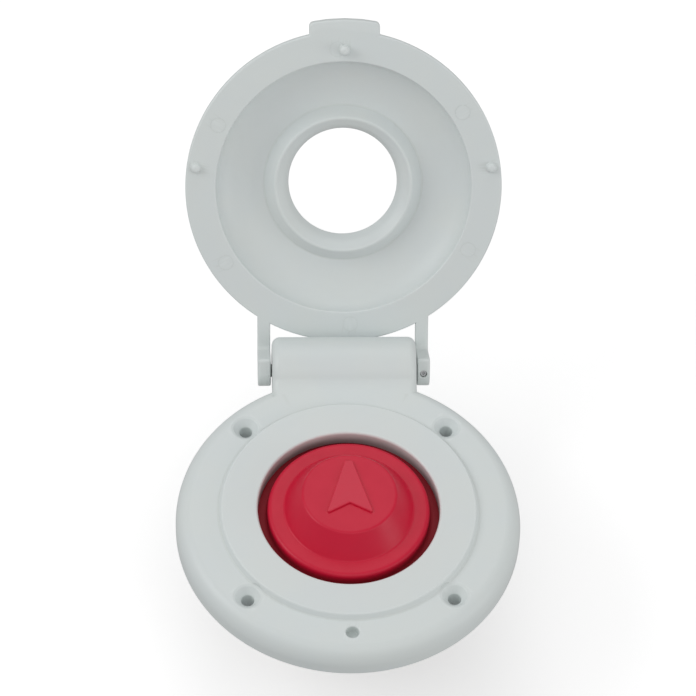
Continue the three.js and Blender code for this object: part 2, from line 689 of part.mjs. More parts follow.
/** Disc on top of the stem, between the return spring and the button. */
function springCap() {
  const top = capBottom + SPRING_CAP_THICK;
  return ring(STEM_TENON_R + FIT, SPRING_CAP_R, capBottom, top, ROUND_FACETS);
}

/** Stem that carries the contact bridge: tenon, shaft, stop collar and clip groove. */
function plunger() {
  const grooveTop = bridgeBottom - FIT;
  const grooveBottom = grooveTop - CLIP_THICK - FIT;
  return turned([
    [0, stemBottom],
    [STEM_R, stemBottom],
    [STEM_R, grooveBottom],
    [CLIP_GROOVE_R, grooveBottom],
    [CLIP_GROOVE_R, grooveTop],
    [STEM_R, grooveTop],
    [STEM_R, collarBottom],
    [STEM_COLLAR_R, collarBottom],
    [STEM_COLLAR_R, collarTop],
    [STEM_R, collarTop],
    [STEM_R, capBottom - FIT],
    [STEM_TENON_R, capBottom - FIT],
    [STEM_TENON_R, capBottom + SPRING_CAP_THICK],
    [0, capBottom + SPRING_CAP_THICK],
  ], SMALL_FACETS);
}

/** Snap ring under the bridge, open on one side. */
function plungerClip() {
  const top = bridgeBottom - 1.5 * FIT;
  const mouth = block(
    [0, -CLIP_GROOVE_R, top - CLIP_THICK - OVERCUT],
    [CLIP_R + OVERCUT, CLIP_GROOVE_R, top + OVERCUT]);
  return ring(CLIP_GROOVE_R + FIT, CLIP_R, top - CLIP_THICK, top, SMALL_FACETS).subtract(mouth);
}

/** Copper bar that joins the two fixed contacts when the button is down. */
function contactBridge() {
  const bar = block(
    [-BRIDGE_HALF_LENGTH, -BRIDGE_HALF_WIDTH, bridgeBottom],
    [BRIDGE_HALF_LENGTH, BRIDGE_HALF_WIDTH, bridgeTop]);
  return bar.subtract(rod(STEM_R + LOOSE / 2, bridgeBottom - OVERCUT, bridgeTop + OVERCUT, SMALL_FACETS));
}

function movingTip(x) {
  return rod(TIP_R, movingTipBottom, movingTipBottom + TIP_THICK, SMALL_FACETS).translate(x, 0, 0);
}

// ---------------------------------------------------------------- terminals

function fixedTip(x) {
  return rod(TIP_R, fixedTipTop - TIP_THICK, fixedTipTop, SMALL_FACETS).translate(x, 0, 0);
}

/** Headed stud: the head carries the contact tip, the shank leaves through the floor. */
function terminalStud(x) {
  return turned([
    [0, STUD_END],
    [STUD_R - STUD_END_CHAMFER, STUD_END],
    [STUD_R, STUD_END + STUD_END_CHAMFER],
    [STUD_R, studHeadBottom],
    [STUD_HEAD_R, studHeadBottom],
    [STUD_HEAD_R, studHeadTop],
    [0, studHeadTop],
  ], SMALL_FACETS).translate(x, 0, 0);
}

function studSeal(x) {
  const bottom = floorTop + FIT / 2;
  return ring(STUD_R + FIT, STUD_HEAD_R, bottom, bottom + SEAL_THICK, SMALL_FACETS).translate(x, 0, 0);
}

/** Hexagon nut whose top face is at a given height. */
function nut(x, top, thick) {
  const corner = NUT_ACROSS_FLATS / Math.sqrt(3);
  const hole = rod(STUD_R + FIT, top - thick - OVERCUT, top + OVERCUT, SMALL_FACETS);
  return rod(corner, top - thick, top, 6).subtract(hole).translate(x, 0, 0);
}

/** Washer whose top face is at a given height. */
function washer(x, top, thick, outer) {
  return ring(STUD_R + FIT, outer, top - thick, top, SMALL_FACETS).translate(x, 0, 0);
}

/** Split spring washer: a plain washer cut through on one side. */
function springWasher(x, top) {
  const whole = washer(0, top, SPRING_WASHER_THICK, SPRING_WASHER_R);
  const cut = block(
    [0, 0, top - 2 * SPRING_WASHER_THICK],
    [WASHER_R, SPRING_WASHER_THICK / 2, top + OVERCUT]);
  return whole.subtract(cut).translate(x, 0, 0);
}

const lockNutTop = HOUSING_BOTTOM - FIT;
const washerTop = lockNutTop - LOCK_NUT_THICK - FIT;
const springWasherTop = washerTop - WASHER_THICK - FIT;
const terminalNutTop = springWasherTop - SPRING_WASHER_THICK - FIT;

// ---------------------------------------------------------------- materials

/** One new material: colour, roughness and how metallic it is. */
function finish(color, roughness, metalness = 0) {
  return new THREE.MeshStandardMaterial({ color, roughness, metalness });
}

const whitePlastic = () => finish('#dfe3e4', 0.42);
const redRubber = () => finish('#b81f35', 0.5);
const blackPlastic = () => finish('#232426', 0.6);
const blackRubber = () => finish('#18181a', 0.85);
const stainless = () => finish('#b9bcbe', 0.3, 1);
const brass = () => finish('#c3a253', 0.35, 1);
const copper = () => finish('#b87450', 0.35, 1);
const silver = () => finish('#d9d9d6', 0.25, 1);

// ----------------------------------------------------------------- assembly

/** Puts a solid into a group as one named mesh. */
function place(group, name, solid, material) {
  const mesh = solid.getMesh();
  const geometry = new THREE.BufferGeometry();
  geometry.setAttribute('position', new THREE.BufferAttribute(mesh.vertProperties, 3));
  geometry.setIndex(new THREE.BufferAttribute(mesh.triVerts, 1));
  geometry.computeVertexNormals();
  const node = new THREE.Mesh(geometry, material);
  node.name = name;
  group.add(node);
}

const footSwitch = new THREE.Group();

place(footSwitch, 'base_flange', baseFlange(), whitePlastic());
place(footSwitch, 'deck_gasket', deckGasket(), blackRubber());
place(footSwitch, 'boot_skirt', bootSkirt(), redRubber());
place(footSwitch, 'clamp_ring', clampRing(), stainless());
place(footSwitch, 'switch_housing', switchHousing(), blackPlastic());
place(footSwitch, 'plunger_guide', plungerGuide(), blackPlastic());
place(footSwitch, 'return_spring', coil(
  RETURN_SPRING_R, RETURN_SPRING_WIRE, springSeat, capBottom, RETURN_SPRING_TURNS), stainless());
housingScrewPlaces.forEach((spot, i) => {
  place(footSwitch, `housing_screw_${i + 1}`, housingScrew(spot), stainless());
});

const button = new THREE.Group();
place(button, 'button_pad', buttonPad(), redRubber());
place(button, 'spring_cap', springCap(), blackPlastic());
place(button, 'plunger', plunger(), blackPlastic());
place(button, 'contact_bridge', contactBridge(), copper());
place(button, 'contact_spring', coil(
  CONTACT_SPRING_R, CONTACT_SPRING_WIRE, bridgeTop, collarBottom, CONTACT_SPRING_TURNS), stainless());
place(button, 'plunger_clip', plungerClip(), stainless());
footSwitch.add(button);

for (const [side, x] of [['left', -STUD_X], ['right', STUD_X]]) {
  place(button, `moving_contact_${side}`, movingTip(x), silver());
  place(footSwitch, `fixed_contact_${side}`, fixedTip(x), silver());
  place(footSwitch, `terminal_stud_${side}`, terminalStud(x), brass());
  place(footSwitch, `stud_seal_${side}`, studSeal(x), blackRubber());
  place(footSwitch, `lock_nut_${side}`, nut(x, lockNutTop, LOCK_NUT_THICK), brass());
  place(footSwitch, `flat_washer_${side}`, washer(x, washerTop, WASHER_THICK, WASHER_R), brass());
  place(footSwitch, `spring_washer_${side}`, springWasher(x, springWasherTop), stainless());
  place(footSwitch, `terminal_nut_${side}`, nut(x, terminalNutTop, TERMINAL_NUT_THICK), brass());
}

// The lid is drawn closed, then turned back about the hinge pin.
const lid = new THREE.Group();
const toPin = [0, -HINGE_Y, -HINGE_Z];
place(lid, 'guard_lid', guardLid().translate(...toPin), whitePlastic());
place(lid, 'hinge_pin', hingePin().translate(...toPin), stainless());
place(lid, 'hinge_pin_set_screw', hingePinSetScrew().translate(...toPin), stainless());
lid.position.set(0, HINGE_Y, HINGE_Z);
lid.rotation.x = -THREE.MathUtils.degToRad(OPEN_ANGLE);
footSwitch.add(lid);

export default footSwitch;
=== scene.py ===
"""Deck foot switch with a hinged guard lid: fine surfaces, finishes, light and camera round its frame.

Metres, +Z up. The origin is the centre of the flange on the deck plane, +Y points to the hinge.
Every new piece is a surface worked out from a few sizes. The sizes that the frame knows are read
from its nodes' boxes, and the rest are properties of the scene, which the sidebar panel shows.
"""

import json
from math import cos, pi, radians, sin, sqrt, tan

import bmesh
import bpy
import numpy as np
from bpy.props import FloatProperty, FloatVectorProperty, IntProperty, PointerProperty
from bpy.types import Operator, Panel, PropertyGroup
from mathutils import Matrix, Vector


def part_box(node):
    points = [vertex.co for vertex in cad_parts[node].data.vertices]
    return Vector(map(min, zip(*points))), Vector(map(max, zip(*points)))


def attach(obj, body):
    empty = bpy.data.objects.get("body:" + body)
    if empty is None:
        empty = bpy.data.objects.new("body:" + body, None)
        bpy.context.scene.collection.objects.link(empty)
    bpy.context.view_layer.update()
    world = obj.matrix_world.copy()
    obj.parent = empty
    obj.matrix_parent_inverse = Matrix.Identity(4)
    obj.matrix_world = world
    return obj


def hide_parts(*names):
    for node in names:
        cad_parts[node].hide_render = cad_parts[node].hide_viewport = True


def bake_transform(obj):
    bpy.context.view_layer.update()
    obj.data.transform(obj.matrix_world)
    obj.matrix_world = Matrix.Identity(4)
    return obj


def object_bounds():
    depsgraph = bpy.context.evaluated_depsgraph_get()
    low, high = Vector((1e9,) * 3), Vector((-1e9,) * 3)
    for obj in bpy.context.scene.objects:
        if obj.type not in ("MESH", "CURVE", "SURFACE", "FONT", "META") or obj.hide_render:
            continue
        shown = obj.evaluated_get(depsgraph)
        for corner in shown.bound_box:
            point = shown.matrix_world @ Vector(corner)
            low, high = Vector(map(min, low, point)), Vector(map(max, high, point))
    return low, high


bl_info = {
    "name": "Deck foot switch",
    "version": (1, 0, 0),
    "blender": (4, 5, 0),
    "location": "3D View > Sidebar > Foot switch",
    "description": "Builds a deck foot switch with a hinged guard lid, piece by piece",
    "category": "Object",
}

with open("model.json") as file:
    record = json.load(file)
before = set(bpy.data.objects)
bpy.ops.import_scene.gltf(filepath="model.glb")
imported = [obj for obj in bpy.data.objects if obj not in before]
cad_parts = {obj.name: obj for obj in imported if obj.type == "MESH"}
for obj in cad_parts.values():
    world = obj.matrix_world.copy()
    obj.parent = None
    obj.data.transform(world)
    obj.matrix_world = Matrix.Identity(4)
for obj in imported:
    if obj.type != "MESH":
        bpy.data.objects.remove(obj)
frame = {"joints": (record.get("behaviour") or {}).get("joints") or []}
CAD_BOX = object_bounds()
MM = 0.001


# ------------------------------------------------------------ sizes read from the frame


def box(node):
    """Lowest and highest corner of a frame node as two arrays."""
    low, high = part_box(node)
    return np.array(low), np.array(high)


def middle(node):
    """[x, 0, 0] place of a frame node that stands on the X axis."""
    low, high = box(node)
    return (low[0] + high[0]) / 2, 0, 0


def joint(name):
    """The frame's record of one joint."""
    return next(j for j in frame["joints"] if j["name"] == name)


HINGE = joint("lid_hinge")
HINGE_Y, HINGE_Z = HINGE["pos_m"][1:]
OPEN_ANGLE = radians(HINGE["range_deg"][1])
FLANGE_R = box("base_flange")[1][0]
BARREL_R = max(box("base_flange")[1][1] - HINGE_Y, box("base_flange")[1][2] - HINGE_Z)
LID_R = box("guard_lid")[1][0]
PAD_HIGH = box("button_pad")[1]
SKIRT_LOW, SKIRT_HIGH = box("boot_skirt")
HOUSING_LOW, HOUSING_HIGH = box("switch_housing")
SIDES = ("left", "right")


# -------------------------------------------------------------------------- properties


def length(name, default, description):
    """A length in metres that the user can change."""
    return FloatProperty(
        name=name, description=description, default=default, min=0, subtype="DISTANCE", unit="LENGTH")


def colour(name, default, description):
    """A linear colour that the user can change."""
    return FloatVectorProperty(
        name=name, description=description, default=default, min=0, max=1, size=3, subtype="COLOR")


def angle(name, default, description):
    """An angle, given here in degrees."""
    return FloatProperty(
        name=name, description=description, default=radians(default), subtype="ANGLE", unit="ROTATION")


def plain(name, default, description):
    """A number without a unit."""
    return FloatProperty(name=name, description=description, default=default, min=0)


class FlangeSizes(PropertyGroup):
    """Sizes of the white flange that stands on the deck."""

    top: length("Top", 8.2 * MM, "Height of the flange's flat top above the deck")
    edge_width: length("Edge width", 4 * MM, "Width of the rolled outer edge")
    edge_height: length("Edge height", 5 * MM, "Height of the rolled outer edge")
    foot_chamfer: length("Foot chamfer", 0.8 * MM, "Chamfer at the foot of the outer edge")
    ring_rise: length("Ring rise", 1.4 * MM, "Height of the raised ring above the flange")
    ring_foot: length("Ring foot", 31.7 * MM, "Radius of the raised ring at its foot")
    ring_slope: length("Ring slope", 0.8 * MM, "How far the ring's side leans in")
    opening: length("Opening", 22.1 * MM, "Radius of the opening for the button")
    bead_seat: length("Bead seat", 24.4 * MM, "Radius of the seat for the boot's bead")
    bead_roof: length("Bead roof", 5.2 * MM, "Height of the roof over the boot's bead")
    housing_seat: length("Housing seat", 29.8 * MM, "Radius of the seat for the housing")
    housing_roof: length("Housing roof", 2.6 * MM, "Height of the roof over the housing's rim")
    screw_circle: length("Screw circle", 35 * MM, "Radius of the circle of deck screws")
    screw_hole: length("Screw hole", 1.6 * MM, "Radius of a deck screw's hole")
    screw_seat: length("Screw seat", 3.3 * MM, "Radius of a countersink at the flange's top")
    screw_seat_depth: length("Screw seat depth", 1.9 * MM, "Depth of a countersink")
    snap_hole: length("Snap hole", 1.6 * MM, "Radius of the hole that the lid's peg snaps into")
    snap_depth: length("Snap depth", 2.3 * MM, "Depth of the hole that the lid's peg snaps into")
    block_half: length("Hinge block half", 18 * MM, "Half the width of the hinge block")
    block_round: length("Hinge block round", 2 * MM, "Rounding at the ends of the hinge block")
    fillet_foot: length("Fillet foot", 36.1 * MM, "Where the hinge block's fillet starts, from the middle")
    fillet_bow: length("Fillet bow", 49 * MM, "Radius of the line where that fillet starts")
    pin_bore: length("Pin bore", 1.6 * MM, "Radius of the bore for the hinge pin")
    pin_play: length("Pin play", 0.1 * MM, "How much smaller the hinge pin's radius is than its bore's")
    seat_rim: length("Seat rim", 1.4 * MM, "Width of the rim between the housing's seat and the gasket")
    gasket_gap: length("Gasket gap", 0.3 * MM, "Gap between the gasket and its recess")
    pocket_edge: length("Pocket edge", 1 * MM, "Width of the gasket's recess beside the pockets")
    skin: length("Skin", 3 * MM, "Thickness of the flange over its pockets")
    rib: length("Rib", 1.6 * MM, "Thickness of the ribs between the pockets")
    boss: length("Boss", 1.8 * MM, "Wall round each hole that passes through the pockets")


class LidSizes(PropertyGroup):
    """Sizes of the guard lid, as it lies when it is closed. Depths run up from its rim plane."""

    rim: length("Rim plane", 9.9 * MM, "Height of the rim plane above the deck when closed")
    rim_thick: length("Rim thickness", 3 * MM, "Thickness of the rim")
    step: length("Step", 31.9 * MM, "Radius where the rim ends and the bowl begins")
    shoulder: length("Shoulder", 34.7 * MM, "Radius where the outer dome meets the rim")
    bowl_depth: length("Bowl depth", 6.6 * MM, "Depth of the bowl beside the collar")
    hole: length("Hole", 13.6 * MM, "Radius of the middle hole")
    hole_depth: length("Hole depth", 8.1 * MM, "Depth of the middle hole's narrowest ring")
    crest: length("Collar crest", 17 * MM, "Radius of the collar's crest")
    crest_depth: length("Collar crest depth", 3.4 * MM, "Depth of the collar's crest")
    collar: length("Collar", 19.8 * MM, "Radius of the collar's foot")
    crown: length("Crown", 16 * MM, "Radius of the dome's flat crown")
    crown_depth: length("Crown depth", 9.9 * MM, "Height of the crown over the rim plane")
    tab_half: length("Tab half", 8.75 * MM, "Half the width of the finger tab")
    tab_reach: length("Tab reach", 2.9 * MM, "How far the finger tab stands out of the rim")
    arm_inner: length("Arm inner", 18.3 * MM, "Inner side of an arm, from the middle")
    arm_outer: length("Arm outer", 21.5 * MM, "Outer side of an arm, from the middle")
    arm_eye: length("Arm eye", 3.85 * MM, "Radius of an arm's round end")
    arm_throat: length("Arm throat", 1.2 * MM, "Fillet between the rim plane and an arm's front")
    arm_corner: length("Arm corner", 0.6 * MM, "Rounding of an arm's lower front corner")
    arm_screw_hole: length("Arm screw hole", 0.9 * MM, "Radius of the hole for the pin's set screw")
    peg: length("Peg", 1.3 * MM, "Radius of the pegs under the rim")
    side_peg_circle: length("Side peg circle", 37.2 * MM, "Radius of the circle of the side pegs")
    side_peg_angle: angle("Side peg angle", 82, "Angle of the side pegs from the lid's front")
    side_peg_gap: length("Side peg gap", 0.3 * MM, "Gap left under the side pegs when the lid is closed")
    snap_reach: length("Snap reach", 1 * MM, "How far the front peg goes into the snap hole")
    edge_round: length("Edge round", 0.4 * MM, "Rounding of the lid's lower edges")
    top_round: length("Top round", 1.3 * MM, "Rounding of the rim's upper edge")
    ejector: length("Ejector mark", 1.9 * MM, "Radius of the faint marks left by the mould's pins")
    ejector_line: length("Ejector line", 0.12 * MM, "Width of the line round such a mark")
    ejector_depth: length("Ejector depth", 0.05 * MM, "Depth of the line round such a mark")
    ejector_inset: length("Ejector inset", 0.6 * MM, "How far the marks lie inside the middle of the rim")


class BootSizes(PropertyGroup):
    """Sizes of the red rubber boot with its raised arrow."""

    flat: length("Flat top", 11.4 * MM, "Radius of the flat top")
    roll: length("Roll", 19.75 * MM, "Outer radius of the flat roll round the button")
    wall: length("Wall", 1.3 * MM, "Thickness of the rubber wall")
    skin: length("Skin", 2.4 * MM, "Thickness of the rubber over the plunger")
    bead: length("Bead", 1.2 * MM, "Thickness of the clamped bead")
    top_round: length("Top round", 0.9 * MM, "Rounding round the flat top")
    foot_fillet: length("Foot fillet", 0.7 * MM, "Fillet where the cone meets the roll")
    roll_round: length("Roll round", 1.1 * MM, "Rounding of the roll's outer edge")
    bead_fillet: length("Bead fillet", 0.9 * MM, "Fillet between the wall and the bead")
    bead_round: length("Bead round", 0.3 * MM, "Rounding of the bead's edges")
    arrow_raise: length("Arrow raise", 0.6 * MM, "Height of the arrow above the flat top")
    arrow_tip: length("Arrow tip", 9.4 * MM, "How far the arrow's tip is from the middle")
    arrow_tip_half: length("Arrow tip half", 1 * MM, "Half the width of the arrow's blunt tip")
    arrow_wing: length("Arrow wing", 8.4 * MM, "How far the arrow's wings are from the middle")
    arrow_wing_angle: angle("Arrow wing angle", 43.6, "Angle of the wings from the arrow's tail")
    arrow_notch: length("Arrow notch", 3.2 * MM, "Depth of the notch in the arrow's tail")
    arrow_corner: length("Arrow corner", 0.42 * MM, "Rounding of the arrow's corners in plan")
    arrow_edge: length("Arrow edge", 0.3 * MM, "Rounding of the arrow's upper edge")


class HousingSizes(PropertyGroup):
    """Sizes of the black cup below the deck."""

    wall: length("Wall", 24 * MM, "Outer radius of the cup")
    seat: length("Guide seat", 21 * MM, "Radius of the seat for the plunger guide")
    ledge: length("Ledge", 1 * MM, "Depth of that seat below the deck")
    cavity: length("Cavity", 19 * MM, "Inner radius of the cup")
    floor: length("Floor", 2.5 * MM, "Thickness of the cup's floor")
    rim_bottom: length("Rim bottom", 0.2 * MM, "Height of the rim's underside above the deck")
    dish: length("Dish", 5 * MM, "Radius of the shallow dish under the floor")
    dish_slope: length("Dish slope", 0.4 * MM, "How far the dish's side leans out")
    dish_depth: length("Dish depth", 0.5 * MM, "Depth of the dish under the floor")
    stud_hole: length("Stud hole", 3.1 * MM, "Radius of a hole for a terminal stud")
    screw_hole: length("Screw hole", 1.35 * MM, "Radius of a hole for a housing screw")
    screw_seat_depth: length("Screw seat depth", 1.2 * MM, "Depth of a housing screw's countersink")


class HardwareSizes(PropertyGroup):
    """Sizes of threads and small fasteners."""

    stud: length("Stud", 3 * MM, "Radius of the terminal studs' thread")
    stud_head: length("Stud head", 2 * MM, "Height of a terminal stud's head")
    stud_pitch: length("Stud pitch", 1 * MM, "Pitch of the terminal studs' thread")
    nut_bore: length("Nut bore", 3.1 * MM, "Radius of the bore of nuts and washers")
    nut_chamfer: length("Nut chamfer", 0.35 * MM, "Chamfer of a nut's bore")
    split: length("Split", 0.6 * MM, "Gap in a spring washer")
    screw: length("Screw", 1.25 * MM, "Radius of the housing screws' thread")
    screw_neck: length("Screw neck", 1.1 * MM, "Height of a housing screw's countersunk head")
    screw_pitch: length("Screw pitch", 0.6 * MM, "Pitch of the housing screws' thread")
    slot_half: length("Slot half", 0.28 * MM, "Half the width of a screw's slot")
    slot_depth: length("Slot depth", 0.55 * MM, "Depth of a screw's slot")
    grub: length("Grub screw", 0.8 * MM, "Radius of the hinge pin's set screw")
    grub_length: length("Grub length", 1.7 * MM, "Length of the hinge pin's set screw")
    edge_round: length("Edge round", 0.15 * MM, "Rounding of small turned edges")
    facets: IntProperty(name="Facets", description="Sides of a small turned surface", default=96, min=24)
    big_facets: IntProperty(
        name="Big facets", description="Sides of a big turned surface", default=288, min=48)


class MechanismSizes(PropertyGroup):
    """Sizes of the pieces inside the switch."""

    clamp_hole: length("Clamp hole", 18.6 * MM, "Inner radius of the clamp ring")
    guide_bore: length("Guide bore", 3.3 * MM, "Radius of the guide's bore for the plunger")
    guide_hub: length("Guide hub", 5 * MM, "Outer radius of the guide's hub")
    guide_web: length("Guide web", 1.8 * MM, "Thickness of the guide between hub and rim")
    guide_rim: length("Guide rim", 3.1 * MM, "Width of the guide's rim")
    cap_hole: length("Cap hole", 2.1 * MM, "Radius of the spring cap's hole")
    stem: length("Stem", 3 * MM, "Radius of the plunger's stem")
    tenon: length("Tenon", 2 * MM, "Radius of the plunger's end in the spring cap")
    groove: length("Groove", 2.3 * MM, "Radius of the plunger in its clip's groove")
    collar: length("Collar", 1.8 * MM, "Height of the plunger's stop collar")
    bridge_hole: length("Bridge hole", 3.15 * MM, "Radius of the contact bridge's hole")
    bridge_corner: length("Bridge corner", 1.2 * MM, "Rounding of the contact bridge's corners")
    return_coil: length("Return coil", 6.7 * MM, "Middle radius of the return spring")
    return_wire: length("Return wire", 1.2 * MM, "Thickness of the return spring's wire")
    return_turns: plain("Return turns", 5.5, "Turns of the return spring")
    contact_coil: length("Contact coil", 4.2 * MM, "Middle radius of the contact spring")
    contact_wire: length("Contact wire", 0.8 * MM, "Thickness of the contact spring's wire")
    contact_turns: plain("Contact turns", 4.5, "Turns of the contact spring")


class Colours(PropertyGroup):
    """Linear colours of the finishes."""

    white: colour("White plastic", (0.725, 0.77, 0.765), "Moulded plastic of the flange and the lid")
    red: colour("Red rubber", (0.63, 0.003, 0.035), "Rubber of the boot")
    black: colour("Black plastic", (0.018, 0.019, 0.021), "Moulded plastic of the housing")
    rubber: colour("Black rubber", (0.012, 0.012, 0.013), "Rubber of the gasket and the seals")
    steel: colour("Stainless steel", (0.60, 0.61, 0.62), "Pin, springs and screws")
    brass: colour("Brass", (0.78, 0.56, 0.25), "Studs and nuts")
    copper: colour("Copper", (0.80, 0.42, 0.27), "Contact bridge")
    silver: colour("Silver", (0.86, 0.85, 0.82), "Contact tips")
    floor: colour("Floor", (0.8, 0.8, 0.8), "Pale studio floor")


class Studio(PropertyGroup):
    """Camera and light."""

    distance: length("Camera distance", 0.918, "From the origin to the camera")
    elevation: angle("Camera elevation", 55.67, "Camera's angle above the deck")
    azimuth: angle("Camera azimuth", -3.84, "Camera's angle round the object")
    roll: angle("Camera roll", 2.68, "Camera's turn about its own axis")
    aim_right: FloatProperty(
        name="Aim right", description="Aim point, to the right of the origin", default=-2.16 * MM,
        unit="LENGTH")
    aim_up: length("Aim up", 44.3 * MM, "Aim point, above the origin in the picture")
    lens: FloatProperty(name="Lens", description="Focal length in millimetres", default=194, min=1)
    sky: plain("Sky", 0.46, "Strength of the even light from all round")
    overhead: plain("Overhead light", 0.2, "Power of the big light above")
    back: plain("Back light", 1.1, "Power of the light above the back")
    front: plain("Front light", 0.8, "Power of the light above the front")
    left: plain("Left light", 2, "Power of the light on the left")
    front_right: plain("Front right light", 0.55, "Power of the light at the front right")
    right: plain("Right light", 1.2, "Power of the low light on the right")
    glow: plain("Floor glow", 0.45, "Even light that the floor gives off, which softens shadows")


GROUPS = {
    "flange": FlangeSizes,
    "lid": LidSizes,
    "boot": BootSizes,
    "housing": HousingSizes,
    "hardware": HardwareSizes,
    "mechanism": MechanismSizes,
    "colours": Colours,
    "studio": Studio,
}


def settings(group):
    """The scene's property group of that name."""
    return getattr(bpy.context.scene, "foot_switch_" + group)


# ------------------------------------------------------------------ outlines in a plane


# Corners of a square whose half side is 1, for oblongs.
SQUARE = np.array([[-1, -1], [1, -1], [1, 1], [-1, 1]])


def arc(centre, radii, start, end, count=9):
    """Points on an ellipse: the centre plus the two radii times the cosine and the sine of
    angles spread evenly from start to end, in degrees."""
    a = np.radians(np.linspace(start, end, count))
    return np.column_stack([centre[0] + radii[0] * np.cos(a), centre[1] + radii[1] * np.sin(a)])


def bezier(start, corner, end, count=12):
    """Quadratic curve that leaves start towards corner and reaches end from corner."""
    t = np.linspace(0, 1, count)[:, None]
    return (1 - t) ** 2 * np.array(start) + 2 * t * (1 - t) * np.array(corner) + t**2 * np.array(end)


def rounded(corners, closed=True, count=7):
    """Outline through [x, y, radius] corners. Each corner becomes the arc of that radius that
    touches both of its sides: the arc starts radius / tan(half the corner's angle) from the corner.
    Two more points on each side, at 0.3 and 0.7 of the radius from the arc or closer on a short
    side, keep the shading of flat stretches flat."""
    corners = np.array([list(c) + [0] * (3 - len(c)) for c in corners], float)
    place, radius = corners[:, :2], corners[:, 2]
    back, ahead = np.roll(place, 1, 0) - place, np.roll(place, -1, 0) - place
    side = np.linalg.norm(ahead, axis=1)
    back = back / np.linalg.norm(back, axis=1)[:, None]
    ahead = ahead / np.maximum(side, 1e-12)[:, None]
    half = np.arccos(np.clip((back * ahead).sum(1), -1, 1)) / 2
    reach = radius / np.tan(half)
    free = side - reach - np.roll(reach, -1)
    points = []
    last = len(place) - 1
    for i in range(len(place)):
        if radius[i] == 0 or (not closed and i in (0, last)):
            points.append(place[i : i + 1])
            continue
        inward = back[i] + ahead[i]
        inward = inward / np.linalg.norm(inward)
        centre = place[i] + inward * radius[i] / sin(half[i])
        first = place[i] + back[i] * reach[i] - centre
        second = place[i] + ahead[i] * reach[i] - centre
        sweep = pi - 2 * half[i]
        t = np.linspace(0, 1, count)[:, None]
        bend = centre + (np.sin((1 - t) * sweep) * first + np.sin(t * sweep) * second) / sin(sweep)
        near = np.minimum(np.array([0.7, 0.3])[:, None] * radius[i], 0.35 * free[i - 1])
        far = np.minimum(np.array([0.3, 0.7])[:, None] * radius[i], 0.35 * free[i])
        points.append(centre + first + back[i] * near)
        points.append(bend)
        points.append(centre + second + ahead[i] * far)
    return np.concatenate(points)


def inset(outline, distance):
    """Closed outline with each side moved in by distance. A point moves along the mean of its two
    sides' normals, by the distance over the square of that mean's length. In is to the left."""
    side = np.roll(outline, -1, 0) - outline
    side = side / np.maximum(np.linalg.norm(side, axis=1), 1e-12)[:, None]
    normal = np.column_stack([-side[:, 1], side[:, 0]])
    mean = (normal + np.roll(normal, 1, 0)) / 2
    return outline + mean * distance / np.maximum((mean**2).sum(1), 0.2)[:, None]


def leftward(outline):
    """The closed outline in the order that has its inside on the left."""
    x, y = outline.T
    area = (x * np.roll(y, -1) - np.roll(x, -1) * y).sum()
    return outline if area > 0 else outline[::-1]


# --------------------------------------------------------------------- closed surfaces


class Shell:
    """Points and faces of one or more closed surfaces."""

    def __init__(self, points, faces):
        self.points = points.reshape(-1, 3)
        self.faces = faces

    def __add__(self, other):
        shift = len(self.points)
        faces = self.faces + [[i + shift for i in face] for face in other.faces]
        return Shell(np.concatenate([self.points, other.points]), faces)

    def at(self, places):
        """Copies of this shell at each of several [x, y, z] places, as one."""
        copies = [Shell(self.points + np.array(place), self.faces) for place in places]
        return sum(copies[1:], copies[0])

    def moved(self, matrix):
        """This shell carried by a 4 by 4 matrix."""
        m = np.array(matrix)
        return Shell(self.points @ m[:3, :3].T + m[:3, 3], self.faces)


def grid(points, wrap_rows=False, wrap_columns=True, caps=False):
    """Surface through a grid of points, rows by columns: each point makes a face with its right,
    lower and lower right neighbours. The last row or column may join the first, and caps closes
    the first and the last row each with one face."""
    rows, columns = points.shape[:2]
    i, j = np.meshgrid(
        np.arange(rows - (not wrap_rows)), np.arange(columns - (not wrap_columns)), indexing="ij")
    down, right = (i + 1) % rows, (j + 1) % columns
    corners = [i * columns + j, down * columns + j, down * columns + right, i * columns + right]
    faces = np.stack(corners, -1).reshape(-1, 4).tolist()
    if caps:
        faces.append(list(range(columns)))
        faces.append(list(range((rows - 1) * columns, rows * columns))[::-1])
    return Shell(points, faces)


def spun(radius, height, facets):
    """Surface turned about Z. Radius and height run along a profile, which closes on itself or
    starts and ends on the axis. Each may also have one row for each of the facets, so that it
    changes round the axis: x = radius cos a, y = radius sin a, z = height."""
    a = np.linspace(0, 2 * pi, facets, endpoint=False)[:, None]
    radius, height = np.broadcast_arrays(radius, height, np.zeros((facets, 1)))[:2]
    points = np.stack([radius * np.cos(a), radius * np.sin(a), height], -1)
    on_axis = np.abs(radius[:, [0, -1]]).max() < 1e-9
    return grid(points, wrap_rows=True, wrap_columns=not on_axis)


def turned(corners, facets, closed=True):
    """Solid turned about Z from [radius, height, rounding] corners."""
    outline = rounded(corners, closed)
    return spun(outline[:, 0], outline[:, 1], facets)


def rod(radius, bottom, top, facets, edge=0):
    """Round bar along Z with rounded ends."""
    corners = [(0, bottom), (radius, bottom, edge), (radius, top, edge), (0, top)]
    return turned(corners, facets, closed=False)


def ring(inner, outer, bottom, top, facets, edge=0):
    """Flat ring about Z with rounded edges."""
    corners = [(inner, bottom, edge), (outer, bottom, edge), (outer, top, edge), (inner, top, edge)]
    return turned(corners, facets)


def across(radius, low, high, facets=48, edge=0):
    """Round bar along the hinge line, from one x to another."""
    turn = Matrix.Translation((0, HINGE_Y, HINGE_Z)) @ Matrix.Rotation(pi / 2, 4, "Y")
    return rod(radius, low, high, facets, edge).moved(turn)


